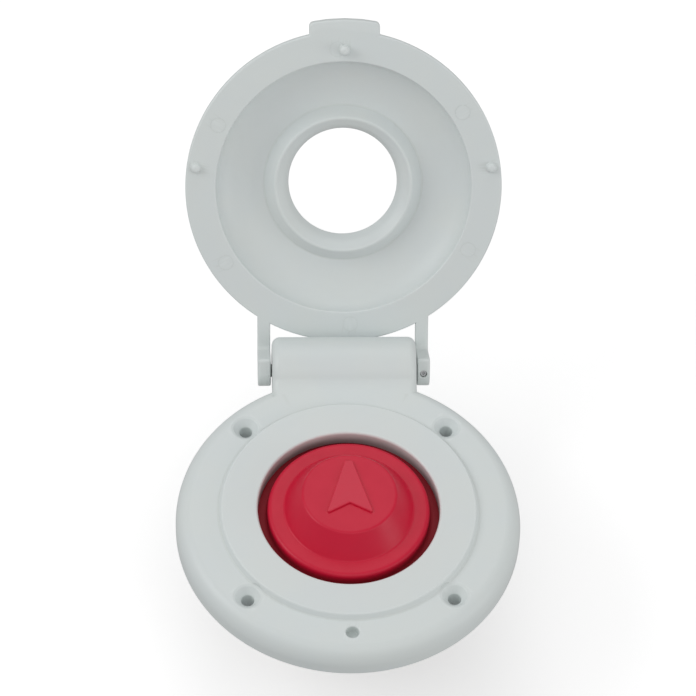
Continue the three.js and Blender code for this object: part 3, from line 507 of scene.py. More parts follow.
def stations(low, high, edge, count=6):
    """Places along a length and how far a section is inset at each: over the rounding at either
    end, the place is edge (1 - sin t) from the end and the inset is edge (1 - cos t)."""
    t = np.linspace(pi / 2, 0, count)
    near, pull = low + edge * (1 - np.sin(t)), edge * (1 - np.cos(t))
    middle = np.linspace(low + edge, high - edge, 5)[1:-1]
    place = np.concatenate([near, middle, low + high - near[::-1]])
    return place, np.concatenate([pull, np.zeros(len(middle)), pull[::-1]])


def drawn_up(outline, low, high, edge=0.0, count=6):
    """Closed outline in X and Y drawn out along Z between two heights, its end edges rounded."""
    outline = leftward(outline)
    heights, pulls = stations(low, high, edge, count)
    rows = []
    for z, pull in zip(heights, pulls):
        rows.append(np.column_stack([inset(outline, pull), np.full(len(outline), z)]))
    return grid(np.array(rows), caps=True)


def drawn_across(outline_at, low, high, edge=0.0, count=6):
    """Closed outline in Y and Z drawn out along X, its end edges rounded. The outline is a
    function of X, so that it may change from side to side."""
    places, pulls = stations(low, high, edge, count)
    rows = []
    for x, pull in zip(places, pulls):
        outline = inset(leftward(outline_at(x)), pull)
        rows.append(np.column_stack([np.full(len(outline), x), outline]))
    return grid(np.array(rows), caps=True)


def coiled(radius, wire, bottom, top, turns, dead=1.0):
    """Spring of round wire: its middle line is a helix whose height rises slowly over the dead
    turns at either end, and its section is a circle across that line."""
    steps_per_turn = 60
    t = np.linspace(0, turns, int(turns * steps_per_turn) + 1)
    closed_pitch = wire * 1.02
    live = (top - bottom - wire - 2 * dead * closed_pitch) / (turns - 2 * dead)
    pitch = closed_pitch + (live - closed_pitch) * np.clip(np.minimum(t, turns - t) / dead - 0.5, 0, 1)
    rise = np.concatenate([[0], np.cumsum((pitch[1:] + pitch[:-1]) / 2 * np.diff(t))])
    height = bottom + wire / 2 + rise * (top - bottom - wire) / rise[-1]
    a = 2 * pi * t
    out = np.column_stack([np.cos(a), np.sin(a), 0 * a])
    line = out * radius + np.column_stack([0 * a, 0 * a, height])
    along = np.gradient(line, axis=0)
    along = along / np.linalg.norm(along, axis=1)[:, None]
    up = np.cross(out, along)
    b = np.linspace(0, 2 * pi, 20, endpoint=False)
    section = np.cos(b)[None, :, None] * out[:, None] + np.sin(b)[None, :, None] * up[:, None]
    return grid(line[:, None] + section * wire / 2, caps=True)


def threaded(crest, bottom, top, pitch, facets, chamfer):
    """Radius and height arrays of a screw thread: the radius falls from the crest by a clipped
    triangle wave of height / pitch minus the share of a turn, and by 45 degrees near the ends."""
    steps_per_pitch, depth_share = 10, 0.55
    a = np.linspace(0, 1, facets, endpoint=False)[:, None]
    height = np.linspace(bottom, top, int((top - bottom) / pitch * steps_per_pitch) + 1)[None]
    wave = np.abs(2 * ((height / pitch - a) % 1) - 1)
    depth = depth_share * pitch * np.clip(1.3 * wave - 0.15, 0, 1)
    end = crest - chamfer + (height - bottom)
    return np.minimum(crest - depth, end), np.broadcast_to(height, depth.shape)


def sixth_turn(facets, turn=0):
    """Angle from the middle of the nearest side of a hexagon, for each of the facets."""
    a = np.linspace(0, 2 * pi, facets, endpoint=False)[:, None]
    return (a + turn + pi / 6) % (pi / 3) - pi / 6


def side_by_side(*columns):
    """Stretches of a profile, some of them with a row for each facet, set one after another."""
    rows = max(np.atleast_2d(c).shape[0] for c in columns)
    return np.concatenate([np.broadcast_to(c, (rows, np.atleast_2d(c).shape[1])) for c in columns], 1)


# --------------------------------------------------------------------- making of pieces


def mesh_of(shell, name):
    """Mesh of a shell, with its doubles merged first and its faces then turned outwards."""
    mesh = bpy.data.meshes.new(name)
    mesh.from_pydata(shell.points, [], shell.faces)
    bm = bmesh.new()
    bm.from_mesh(mesh)
    bmesh.ops.remove_doubles(bm, verts=bm.verts, dist=1e-7)
    bmesh.ops.dissolve_degenerate(bm, edges=bm.edges, dist=1e-8)
    bmesh.ops.recalc_face_normals(bm, faces=bm.faces)
    bm.to_mesh(mesh)
    bm.free()
    return mesh


def carved(name, shell, joined, cut):
    """Mesh of a shell after some shells have been joined on and others cut out, one by one."""
    whole = bpy.data.objects.new(name, mesh_of(shell, name))
    bpy.context.scene.collection.objects.link(whole)
    helpers = [whole]
    for operation, tool in [*(("UNION", t) for t in joined), *(("DIFFERENCE", t) for t in cut)]:
        helper = bpy.data.objects.new(name + "_tool", mesh_of(tool, name + "_tool"))
        bpy.context.scene.collection.objects.link(helper)
        modifier = whole.modifiers.new(operation, "BOOLEAN")
        modifier.operation, modifier.solver, modifier.object = operation, "EXACT", helper
        helpers.append(helper)
    bpy.context.view_layer.update()
    finished = bpy.data.meshes.new_from_object(whole.evaluated_get(bpy.context.evaluated_depsgraph_get()))
    for helper in helpers:
        bpy.data.objects.remove(helper)
    return finished


def read(items, key, columns, kind=np.float32):
    """One entry of each of a mesh's items, as an array with a row for each."""
    values = np.zeros(len(items) * columns, kind)
    items.foreach_get(key, values)
    return values.reshape(-1, columns)


def shell_of(mesh):
    """Shell with the points and faces of a mesh."""
    corners = read(mesh.loops, "vertex_index", 1, np.int32).ravel()
    starts = read(mesh.polygons, "loop_start", 1, np.int32).ravel()
    return Shell(read(mesh.vertices, "co", 3), [face.tolist() for face in np.split(corners, starts[1:])])


def marked(mesh):
    """Stores how the surface bends at each point, for wear, tarnish, darker hollows and painted
    highlights on edges: the greatest change of normal along an edge over the edge's length, from
    0 to 1, as edge where it bulges and as hollow where it caves in. Each point's place at rest is
    stored as well."""
    full_bend = 1.6 / MM
    place, normal = read(mesh.vertices, "co", 3), read(mesh.vertex_normals, "vector", 3)
    ends = read(mesh.edges, "vertices", 2, np.int32)
    step = place[ends[:, 1]] - place[ends[:, 0]]
    turn = normal[ends[:, 1]] - normal[ends[:, 0]]
    bend = (step * turn).sum(1) / np.maximum((step**2).sum(1), 1e-12)
    for name, signed in (("edge", bend), ("hollow", -bend)):
        most = np.zeros(len(place), np.float32)
        np.maximum.at(most, ends.ravel(), np.repeat(signed, 2).astype(np.float32))
        attribute = mesh.attributes.new(name, "FLOAT", "POINT")
        attribute.data.foreach_set("value", np.clip(most / full_bend, 0, 1).astype(np.float32))
    rest = mesh.attributes.new("rest", "FLOAT_VECTOR", "POINT")
    rest.data.foreach_set("vector", place.ravel())


def piece(name, shell, finish, body, stands_for, joined=(), cut=(), lid=False, sharp=38):
    """Object made of a shell: carved, shaded smooth up to the sharp angle, given its finish, set
    on its body and put in place of frame nodes. Body is a body's name, or else a still place on the
    base and a place on the button, which are not used: such a piece is left where it is drawn.
    Lid pieces are drawn closed and turned open."""
    mesh = carved(name, shell, joined, cut) if joined or cut else mesh_of(shell, name)
    if lid:
        mesh.transform(opened())
    mesh.shade_smooth()
    mesh.set_sharp_from_angle(angle=radians(sharp))
    marked(mesh)
    mesh.materials.clear()
    mesh.materials.append(material(finish))
    made = bpy.data.objects.new(name, mesh)
    bpy.context.scene.collection.objects.link(made)
    if joined or cut:
        weighted = made.modifiers.new("Weighted normals", "WEIGHTED_NORMAL")
        weighted.keep_sharp = True
    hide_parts(*stands_for)
    if isinstance(body, str):
        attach(made, body)
    else:
        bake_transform(made)


def opened():
    """Matrix that turns the closed lid back about the hinge line to its open place."""
    pin = Vector((0, HINGE_Y, HINGE_Z))
    return Matrix.Translation(pin) @ Matrix.Rotation(-OPEN_ANGLE, 4, "X") @ Matrix.Translation(-pin)


# ----------------------------------------------------------------------------- finishes


class Value:
    """A value in a material's nodes. Arithmetic on it adds the Math nodes that work it out."""

    def __init__(self, tree, socket):
        self.tree = tree
        self.socket = socket

    def math(self, operation, *values):
        """Result of a Math node on this value or another."""
        return add_node(self.tree, "ShaderNodeMath", {"operation": operation}, dict(enumerate(values)))

    def __add__(self, other):
        return self.math("ADD", self, other)

    def __sub__(self, other):
        return self.math("SUBTRACT", self, other)

    def __rsub__(self, other):
        return self.math("SUBTRACT", other, self)

    def __mul__(self, other):
        return self.math("MULTIPLY", self, other)

    __radd__ = __add__
    __rmul__ = __mul__

    def between(self, low, high):
        """0 below low, 1 above high and a smooth rise from one to the other."""
        inputs = {"Value": self, "From Min": low, "From Max": high}
        return add_node(self.tree, "ShaderNodeMapRange", {"interpolation_type": "SMOOTHSTEP"}, inputs)


def add_node(tree, kind, options=None, inputs=None, output=0):
    """One node: its options are set first, then each input is linked to a value or set to it."""
    node = tree.nodes.new(kind)
    for name, value in (options or {}).items():
        setattr(node, name, value)
    for key, value in (inputs or {}).items():
        if isinstance(value, Value):
            tree.links.new(value.socket, node.inputs[key])
        else:
            node.inputs[key].default_value = value
    return Value(tree, node.outputs[output])


class Finish:
    """A material under construction. One for a piece that bends reads the places that the
    piece's points have at rest, so that its pattern stays on the surface."""

    def __init__(self, name, bends=False, **constants):
        self.bends = bends
        self.material = bpy.data.materials.new(name + "_finish")
        self.material.use_nodes = True
        self.tree = self.material.node_tree
        self.shader = self.tree.nodes["Principled BSDF"]
        for socket, value in constants.items():
            self.shader.inputs[socket.replace("_", " ")].default_value = value

    def node(self, kind, options=None, inputs=None, output=0):
        """Result of a node of any kind."""
        return add_node(self.tree, kind, options, inputs, output)

    def place(self, stretch=(1, 1, 1)):
        """Coordinates on the object, stretched along each axis."""
        if self.bends:
            spot = self.node("ShaderNodeAttribute", {"attribute_name": "rest"}, output="Vector")
        else:
            spot = self.node("ShaderNodeTexCoord", output="Object")
        return self.node("ShaderNodeMapping", {}, {"Vector": spot, "Scale": stretch})

    def noise(self, size, detail=2.0, stretch=(1, 1, 1), roughness=0.5):
        """Noise from 0 to 1 whose blotches are about as large as size."""
        spot = self.place(stretch)
        inputs = {"Vector": spot, "Scale": 1 / size, "Detail": detail, "Roughness": roughness}
        return self.node("ShaderNodeTexNoise", {}, inputs)

    def mark(self, name):
        """A point attribute of the mesh."""
        return self.node("ShaderNodeAttribute", {"attribute_name": name}, output="Fac")

    def mix(self, share, first, second):
        """Colour that goes from first to second as share goes from 0 to 1."""
        first, second = (c if isinstance(c, Value) else (*c, 1) for c in (first, second))
        return self.node("ShaderNodeMix", {"data_type": "RGBA"}, {0: share, 6: first, 7: second}, output=2)

    def bump(self, height, distance, strength=1.0):
        """Normal of a surface raised by height times distance."""
        inputs = {"Height": height, "Distance": distance, "Strength": strength}
        return self.node("ShaderNodeBump", {}, inputs)

    def done(self, **varying):
        """Links what varies to the shader and gives the material back."""
        for socket, value in varying.items():
            self.tree.links.new(value.socket, self.shader.inputs[socket.replace("_", " ")])
        return self.material


def shade(colour, factor):
    """A colour made lighter or darker."""
    return tuple(min(1.0, c * factor) for c in colour)


def toned(colour, factors):
    """A colour with each channel scaled by its own factor."""
    return tuple(min(1.0, c * f) for c, f in zip(colour, factors))


def white_plastic():
    """Satin moulded plastic: faint cool and warm blotches, fine moulding grain, edges a little
    polished and lighter, partly wear and partly a painted highlight, hollows a little darker and
    duller, and painted shade on the wall of the flange's opening."""
    base = settings("colours").white
    f = Finish("white_plastic", IOR=1.46, Specular_IOR_Level=0.5)
    blotch = f.noise(14 * MM, 3).between(0.35, 0.65)
    cloud = f.noise(5 * MM, 4, roughness=0.6)
    edge = (f.mark("edge") * (0.4 + 0.9 * cloud)).between(0.15, 0.8)
    hollow = (f.mark("hollow") * (0.4 + 0.9 * cloud)).between(0.1, 0.9)
    tone = f.mix(blotch * 0.6, toned(base, (0.985, 0.99, 0.995)), toned(base, (1.005, 1.0, 0.985)))
    # Edges lighter: partly wear polish, partly a painted highlight.
    tone = f.mix(edge * 0.35, tone, shade(base, 1.07))
    tone = f.mix(hollow * 0.3, tone, toned(base, (0.86, 0.86, 0.83)))
    # Painted shade: the wall of the flange's opening darkened towards black, low in the gap round the
    # boot.
    tone = f.mix(painted_gap_shade(f, cloud), tone, shade(base, 0.3))
    grain = f.noise(0.35 * MM, 2)
    ripple = f.noise(6 * MM, 1)
    rough = 0.36 + 0.08 * cloud - 0.08 * edge + 0.1 * hollow
    height = grain * 0.010 + ripple * 0.05
    return f.done(Base_Color=tone, Roughness=rough, Normal=f.bump(height, MM))


def painted_gap_shade(f, cloud):
    """Share of painted shade, for the wall of the flange's opening that lies in shade: 1 deep on that wall
    and 0 at its lip and all further out.
    """
    flange = settings("flange")
    spot = f.place()
    flat = f.node("ShaderNodeVectorMath", {"operation": "MULTIPLY"}, {0: spot, 1: (1, 1, 0)})
    out = f.node("ShaderNodeVectorMath", {"operation": "LENGTH"}, {0: flat}, output="Value")
    height = f.node("ShaderNodeSeparateXYZ", {}, {0: spot}, output="Z")
    inside = 1 - out.between(flange.opening + 0.1 * MM, flange.opening + 0.4 * MM)
    top = flange.top + flange.ring_rise
    low = 1 - (height + MM * cloud).between(top - 3.2 * MM, top + 0.1 * MM)
    return inside * low * 0.8


def red_rubber():
    """Satin rubber: soft sheen, fine matt grain, edges slightly paler as a painted highlight, and
    painted shade, dark brown-red, on the side wall that lies deep in the gap round the boot."""
    base = settings("colours").red
    f = Finish("red_rubber", bends=True, IOR=1.48, Specular_IOR_Level=0.42)
    cloud = f.noise(4 * MM, 4, roughness=0.6)
    edge = f.mark("edge").between(0.7, 1.0) * (0.6 + 0.5 * cloud)
    height = f.node("ShaderNodeSeparateXYZ", {}, {0: f.place()}, output="Z")
    # Share of painted shade: 1 low on the side wall in the gap round the boot, 0 above it.
    deep = 1 - (height + 1.2 * MM * cloud).between(SKIRT_HIGH[2] - 2.6 * MM, SKIRT_HIGH[2] + 0.2 * MM)
    tone = f.mix(cloud.between(0.35, 0.7) * 0.4, base, shade(base, 0.93))
    # Painted highlight: edges tinted a paler pink.
    tone = f.mix(edge * 0.08, tone, (0.9, 0.22, 0.28))
    # Painted shade: the side wall low in the gap round the boot darkened to brown-red.
    tone = f.mix(deep * 0.5, tone, (0.10, 0.02, 0.015))
    rough = 0.34 + 0.10 * cloud - 0.06 * edge + 0.25 * deep
    relief = f.noise(0.25 * MM, 2) * 0.006 + f.noise(3 * MM, 1) * 0.015
    return f.done(Base_Color=tone, Roughness=rough, Normal=f.bump(relief, MM))


def black_plastic():
    """Black moulded plastic with a sparkle-eroded grain and greyer edges."""
    base = settings("colours").black
    f = Finish("black_plastic", IOR=1.5, Specular_IOR_Level=0.5)
    cloud = f.noise(5 * MM, 4, roughness=0.6)
    edge = (f.mark("edge") * (0.4 + 0.9 * cloud)).between(0.2, 0.8)
    tone = f.mix(cloud.between(0.3, 0.7) * 0.5, base, shade(base, 1.5))
    tone = f.mix(edge * 0.5, tone, shade(base, 4))
    rough = 0.48 + 0.14 * cloud - 0.12 * edge
    return f.done(Base_Color=tone, Roughness=rough, Normal=f.bump(f.noise(0.3 * MM, 3), 0.02 * MM))


def black_rubber():
    """Matt black rubber with a chalky bloom."""
    base = settings("colours").rubber
    f = Finish("black_rubber", IOR=1.45, Specular_IOR_Level=0.4)
    bloom = f.noise(3 * MM, 5, roughness=0.65).between(0.4, 0.75)
    tone = f.mix(bloom * 0.5, base, shade(base, 3))
    rough = 0.72 + 0.16 * bloom
    return f.done(Base_Color=tone, Roughness=rough, Normal=f.bump(f.noise(0.2 * MM, 3), 0.025 * MM))


def metal(name, base, roughness, dull, tarnish):
    """Turned metal: fine tool marks round the axis, uneven gloss and a little tarnish."""
    f = Finish(name, Metallic=1.0)
    cloud = f.noise(2.5 * MM, 4, roughness=0.6)
    streak = f.noise(0.6 * MM, 3, stretch=(1, 1, 6))
    hollow = f.mark("hollow").between(0.1, 0.9)
    tone = f.mix(cloud.between(0.45, 0.75) * tarnish, base, dull)
    tone = f.mix(hollow * 0.5, tone, shade(dull, 0.7))
    rough = roughness + 0.12 * cloud + 0.08 * streak
    return f.done(Base_Color=tone, Roughness=rough, Normal=f.bump(streak, 0.012 * MM))


def stainless():
    """Bright stainless steel."""
    base = settings("colours").steel
    return metal("stainless", base, 0.2, shade(base, 0.72), 0.3)


def brass():
    """Yellow brass with brown tarnish."""
    return metal("brass", settings("colours").brass, 0.22, (0.48, 0.29, 0.12), 0.5)


def copper():
    """Rolled copper with darker patches."""
    return metal("copper", settings("colours").copper, 0.26, (0.45, 0.18, 0.10), 0.5)


def silver():
    """Silver contact metal."""
    return metal("silver", settings("colours").silver, 0.2, (0.55, 0.52, 0.47), 0.4)


FINISHES = {
    make.__name__: make
    for make in (white_plastic, red_rubber, black_plastic, black_rubber, stainless, brass, copper, silver)
}
MADE = {}


def material(finish):
    """The finish's material, which is made the first time that it is asked for and kept in MADE."""
    if finish not in MADE:
        MADE[finish] = FINISHES[finish]()
    return MADE[finish]


# ------------------------------------------------------------------------- base flange


def places_on_circle(count, radius, first):
    """[x, y, 0] places spread evenly on a circle, from a first angle in degrees."""
    a = np.radians(first) + 2 * pi * np.arange(count) / count
    return np.column_stack([radius * np.cos(a), radius * np.sin(a), 0 * a])


def flange_disc(s, facets):
    """Flange turned about Z: rolled outer edge, raised ring, opening and the two seats inside."""
    ring_top = s.top + s.ring_rise
    edge = arc((FLANGE_R - s.edge_width, s.top - s.edge_height), (s.edge_width, s.edge_height), 0, 88, 18)
    chamfer = s.foot_chamfer
    foot = rounded([
        (s.housing_seat, 0, 0.2 * MM),
        (FLANGE_R - chamfer, 0, 0.3 * MM),
        (FLANGE_R, chamfer, 0.5 * MM),
        edge[0],
    ], closed=False)[1:-1]
    inner = rounded([
        edge[-1],
        (s.ring_foot, s.top, 0.5 * MM),
        (s.ring_foot - s.ring_slope, ring_top, 0.45 * MM),
        (s.opening, ring_top, 0.6 * MM),
        (s.opening, s.bead_roof, 0.2 * MM),
        (s.bead_seat, s.bead_roof, 0.2 * MM),
        (s.bead_seat, s.housing_roof, 0.2 * MM),
        (s.housing_seat, s.housing_roof, 0.2 * MM),
        (s.housing_seat, 0),
    ], closed=False)[1:]
    profile = np.concatenate([foot, edge, inner])
    return spun(profile[:, 0], profile[:, 1], facets)


def hinge_block(s):
    """Hinge block drawn across X: a barrel about the hinge line whose front runs down into a
    fillet. The fillet starts on an arc in plan, at y = foot - bow + sqrt(bow^2 - x^2)."""
    sink = 0.05 * MM
    lean, short = 50, 8
    meet = (HINGE_Y - BARREL_R * sin(radians(lean)), HINGE_Z + BARREL_R * cos(radians(lean)))
    corner_y = meet[0] - (meet[1] - s.top) / tan(radians(lean))
    back = -np.degrees(np.arcsin(HINGE_Z / BARREL_R))
    heel = (HINGE_Y + BARREL_R * cos(radians(back)), 0, 1.5 * MM)
    barrel = arc((HINGE_Y, HINGE_Z), (BARREL_R, BARREL_R), 90 + lean, back + short, 40)
    bottom = rounded([barrel[-1], heel, (HINGE_Y - BARREL_R, 0)], closed=False)[1:]
    inner = s.ring_foot + MM

    def outline_at(x):
        """Side outline of the block at one x."""
        start = s.fillet_foot - s.fillet_bow + sqrt(s.fillet_bow**2 - x**2)
        fillet = bezier((start, s.top - sink), (corner_y, s.top), meet, 16)[:-1]
        return np.concatenate([fillet, barrel, bottom, [(inner, 0), (inner, s.top - 2 * sink)]])

    return drawn_across(outline_at, -s.block_half, s.block_half, s.block_round, 9)


def countersinks(s, places):
    """Cutters for the deck screws: a through hole, a cone, and a lip that flares out to round
    the cone's edge."""
    lip, flare = 0.22 * MM, 0.5 * MM
    slope = (s.screw_seat - s.screw_hole) / s.screw_seat_depth
    corners = [
        (0, -MM),
        (s.screw_hole, -MM),
        (s.screw_hole, s.top - s.screw_seat_depth, 0.2 * MM),
        (s.screw_seat - slope * lip, s.top - lip, 0.35 * MM),
        (s.screw_seat + flare, s.top + 0.05 * MM, 0.2 * MM),
        (s.screw_seat + flare, s.top + s.ring_rise + MM),
        (0, s.top + s.ring_rise + MM),
    ]
    return turned(corners, 64, closed=False).at(places)


def snap_hole(s):
    """Cutter for the blind hole that the lid's peg snaps into, with a softened lip."""
    floor, lip = s.top - s.snap_depth, 0.35 * MM
    return turned([
        (0, floor),
        (s.snap_hole, floor, 0.2 * MM),
        (s.snap_hole, s.top - 0.15 * MM, 0.25 * MM),
        (s.snap_hole + lip, s.top + 0.04 * MM, 0.1 * MM),
        (s.snap_hole + lip, s.top + MM),
        (0, s.top + MM),
    ], 48, closed=False)


def flange_cuts(s, hardware):
    """Everything that is cut out of the flange: the gasket's recess, the pockets above it with
    their ribs and bosses left standing, the screw holes, the snap hole and the pin's bore."""
    deck_screws = places_on_circle(4, s.screw_circle, 45)
    snap = [(0, -s.screw_circle, 0)]
    gasket_high = box("deck_gasket")[1]
    inner, outer = s.housing_seat + s.seat_rim, gasket_high[0] + s.gasket_gap
    recess = ring(inner, outer, -MM, gasket_high[2] + 0.1 * MM, hardware.big_facets)
    pocket = ring(
        inner + s.pocket_edge, outer - s.pocket_edge, gasket_high[2], s.top - s.skin, 144, 0.3 * MM)
    rib = drawn_up(SQUARE * (FLANGE_R, s.rib / 2), 0, s.top)
    ribs = [rib.moved(Matrix.Rotation(a, 4, "Z")) for a in pi * np.arange(4) / 4]
    bosses = rod(s.screw_hole + s.boss, 0, s.top, 32).at([*deck_screws, *snap])
    pockets = shell_of(carved("pockets", pocket, [], [*ribs, bosses]))
    screw_low, screw_high = box("housing_screw_1")
    tapped = 0.56 * (screw_high[1] - screw_low[1]) / 2
    fixing = rod(tapped, s.housing_roof - MM, screw_high[2] + 0.1 * MM, 32)
    fixings = places_on_circle(4, middle("housing_screw_1")[0], 0)
    bore = across(s.pin_bore, -s.block_half - MM, s.block_half + MM)
    return [recess, pockets, countersinks(s, deck_screws), fixing.at(fixings), snap_hole(s).at(snap), bore]


class FOOTSWITCH_OT_flange(Operator):
    """Build the white flange with its hinge block, screw holes and underside"""

    bl_idname = "foot_switch.flange"
    bl_label = "Base flange"

    def execute(self, context):
        s, hardware = settings("flange"), settings("hardware")
        piece("flange_moulding", flange_disc(s, hardware.big_facets), "white_plastic", "base",
              ["base_flange"], [hinge_block(s)], flange_cuts(s, hardware), sharp=30)
        return {"FINISHED"}


# --------------------------------------------------------------------------- guard lid


def lid_bowl(s, facets):
    """Lid turned about Z: flat rim, quarter-ellipse bowl, flared collar, hole and outer dome."""
    rim_top = s.rim + s.rim_thick
    crown = s.rim + s.crown_depth
    hole_z = s.rim + s.hole_depth
    lip = crown - hole_z
    flare = (s.hole + 0.3 * (s.crest - s.hole), s.rim + (s.hole_depth + s.crest_depth) * 0.47, 4 * MM)
    dome = arc((s.crown, rim_top), (s.shoulder - s.crown, crown - rim_top), 1, 90, 40)
    bowl = arc((s.collar, s.rim), (s.step - s.collar, s.bowl_depth), 88, 4, 34)
    outside = rounded([
        bowl[-1],
        (s.step, s.rim, 0.35 * MM),
        (LID_R, s.rim, s.edge_round),
        (LID_R, rim_top, s.top_round),
        (s.shoulder + 0.2 * MM, rim_top, 0.5 * MM),
        dome[1],
    ], closed=False)[1:-1]
    inside = rounded([
        (s.hole + lip, crown),
        (s.hole, crown, lip * 0.92),
        (s.hole, hole_z, 0.35 * MM),
        flare,
        (s.crest, s.rim + s.crest_depth, 0.55 * MM),
        (s.collar, s.rim + s.bowl_depth, 0.6 * MM),
        bowl[2],
    ], closed=False)[1:-1]
    profile = np.concatenate([outside, dome[1:-1], inside, bowl[2:-1]])
    return spun(profile[:, 0], profile[:, 1], facets)


def lid_arms(s):
    """Two arms drawn across X: back along the rim plane, down in front of the hinge pin to a flat
    bottom, and round behind the pin. The heel's line touches that round end at the angle that
    lies flat on the deck when the lid is open."""
    heel = OPEN_ANGLE - pi / 2
    top = s.rim + s.rim_thick
    front, bottom = HINGE_Y - s.arm_eye, HINGE_Z - s.arm_eye
    eye = arc((HINGE_Y, HINGE_Z), (s.arm_eye, s.arm_eye), 270, 360 + np.degrees(heel), 30)
    heel_y = eye[-1][0] - (top - eye[-1][1]) * tan(heel)
    outline = rounded([
        (s.step + MM, top),
        (s.step + MM, s.rim),
        (front, s.rim, s.arm_throat),
        (front, bottom, s.arm_corner),
        *eye,
        (heel_y, top, 0.6 * MM),
    ])
    arm = drawn_across(lambda x: outline, s.arm_inner, s.arm_outer, s.edge_round)
    return arm, arm.at([(-s.arm_inner - s.arm_outer, 0, 0)])


def lid_tab(s):
    """Finger tab drawn up along Z: its end is an arc about the lid's middle."""
    reach, corner = LID_R + s.tab_reach, 1.2 * MM
    root = -s.step - MM
    end = np.degrees(np.arcsin(s.tab_half / reach))
    front = arc((0, 0), (reach, reach), -90 - end, -90 + end, 5)
    outline = rounded([
        (-s.tab_half, root), (*front[0], corner), *front[1:-1], (*front[-1], corner), (s.tab_half, root)])
    return drawn_up(outline, s.rim, s.rim + s.rim_thick, s.edge_round)


def lid_peg(s, length):
    """Round peg that hangs from the rim plane and ends in a dome, with a flared root."""
    tip, flare = s.rim - length, s.peg + 0.25 * MM
    return turned([
        (0, tip),
        (s.peg * 0.75, tip, s.peg * 0.6),
        (s.peg, tip + s.peg * 0.9, s.peg * 0.5),
        (s.peg, s.rim - 0.12 * MM, 0.15 * MM),
        (flare, s.rim + 0.02 * MM),
        (flare, s.rim + MM),
        (0, s.rim + MM),
    ], 48, closed=False)


def ejector_marks(s):
    """Cutters for the faint round lines that the mould's pins leave on the rim."""
    mark = ring(s.ejector - s.ejector_line, s.ejector, s.rim - MM, s.rim + s.ejector_depth, 48)
    return mark.at(places_on_circle(6, (s.step + LID_R) / 2 - s.ejector_inset, 27))


class FOOTSWITCH_OT_lid(Operator):
    """Build the white guard lid with its arms, finger tab and pegs"""

    bl_idname = "foot_switch.lid"
    bl_label = "Guard lid"

    def execute(self, context):
        s, hardware, flange = settings("lid"), settings("hardware"), settings("flange")
        gap = s.rim - flange.top
        out, ahead = s.side_peg_circle * sin(s.side_peg_angle), s.side_peg_circle * cos(s.side_peg_angle)
        side_pegs = lid_peg(s, gap - s.side_peg_gap).at([(-out, -ahead, 0), (out, -ahead, 0)])
        snap_peg = lid_peg(s, gap + s.snap_reach).at([(0, -flange.screw_circle, 0)])
        blind = (s.arm_outer - s.arm_inner + 0.2 * MM) / 3
        bore = across(flange.pin_bore, -s.arm_outer + blind, s.arm_outer + MM)
        screw = rod(s.arm_screw_hole, HINGE_Z - s.arm_eye - MM, HINGE_Z, 40)
        screw_hole = screw.at([((s.arm_inner + s.arm_outer) / 2, HINGE_Y, 0)])
        piece("lid_moulding", lid_bowl(s, hardware.big_facets), "white_plastic", "lid", ["guard_lid"],
              [*lid_arms(s), lid_tab(s), side_pegs, snap_peg], [ejector_marks(s), bore, screw_hole],
              lid=True, sharp=30)
        return {"FINISHED"}


class FOOTSWITCH_OT_hinge_pin(Operator):
    """Build the hinge pin and the grub screw that holds it"""

    bl_idname = "foot_switch.hinge_pin"
    bl_label = "Hinge pin"

    def execute(self, context):
        flange = settings("flange")
        low, high = box("hinge_pin")
        radius = flange.pin_bore - flange.pin_play
        pin = across(radius, low[0], high[0], 64, 0.3 * MM)
        piece("hinge_pin_rod", pin, "stainless", "lid", ["hinge_pin"])
        self.grub_screw(HINGE_Z - radius - flange.pin_play)
        return {"FINISHED"}

    def grub_screw(self, tip):
        """Headless screw below the pin, its point up. The radius of its hexagon socket is half
        the socket's width over the cosine of the angle from the nearest flat."""
        lid, hardware = settings("lid"), settings("hardware")
        radius, bottom, facets = hardware.grub, tip - hardware.grub_length, 60
        socket = 0.42 * radius / np.cos(sixth_turn(facets))
        socket_top = bottom + hardware.grub_length / 2
        point, foot = 0.15 * MM, 0.1 * MM
        radii = side_by_side(
            [[0, 0.5 * radius, radius - point, radius, radius, radius - foot]], socket, socket, [[0]])
        heights = [
            tip, tip, tip, tip - point, bottom + foot, bottom, bottom, socket_top, socket_top]
        place = ((lid.arm_inner + lid.arm_outer) / 2, HINGE_Y, 0)
        piece("hinge_pin_grub_screw", spun(radii, np.array(heights), facets).at([place]), "stainless",
              "lid", ["hinge_pin_set_screw"], lid=True)


# ------------------------------------------------------------------------- rubber boot


def arrow_outline(s):
    """Arrowhead that points to the hinge, with a blunt tip and a notched tail."""
    wing = (s.arrow_wing * sin(s.arrow_wing_angle), -s.arrow_wing * cos(s.arrow_wing_angle))
    return rounded([
        (-s.arrow_tip_half, s.arrow_tip, s.arrow_corner),
        (-wing[0], wing[1], s.arrow_corner),
        (0, wing[1] + s.arrow_notch, s.arrow_corner),
        (*wing, s.arrow_corner),
        (s.arrow_tip_half, s.arrow_tip, s.arrow_corner),
    ])


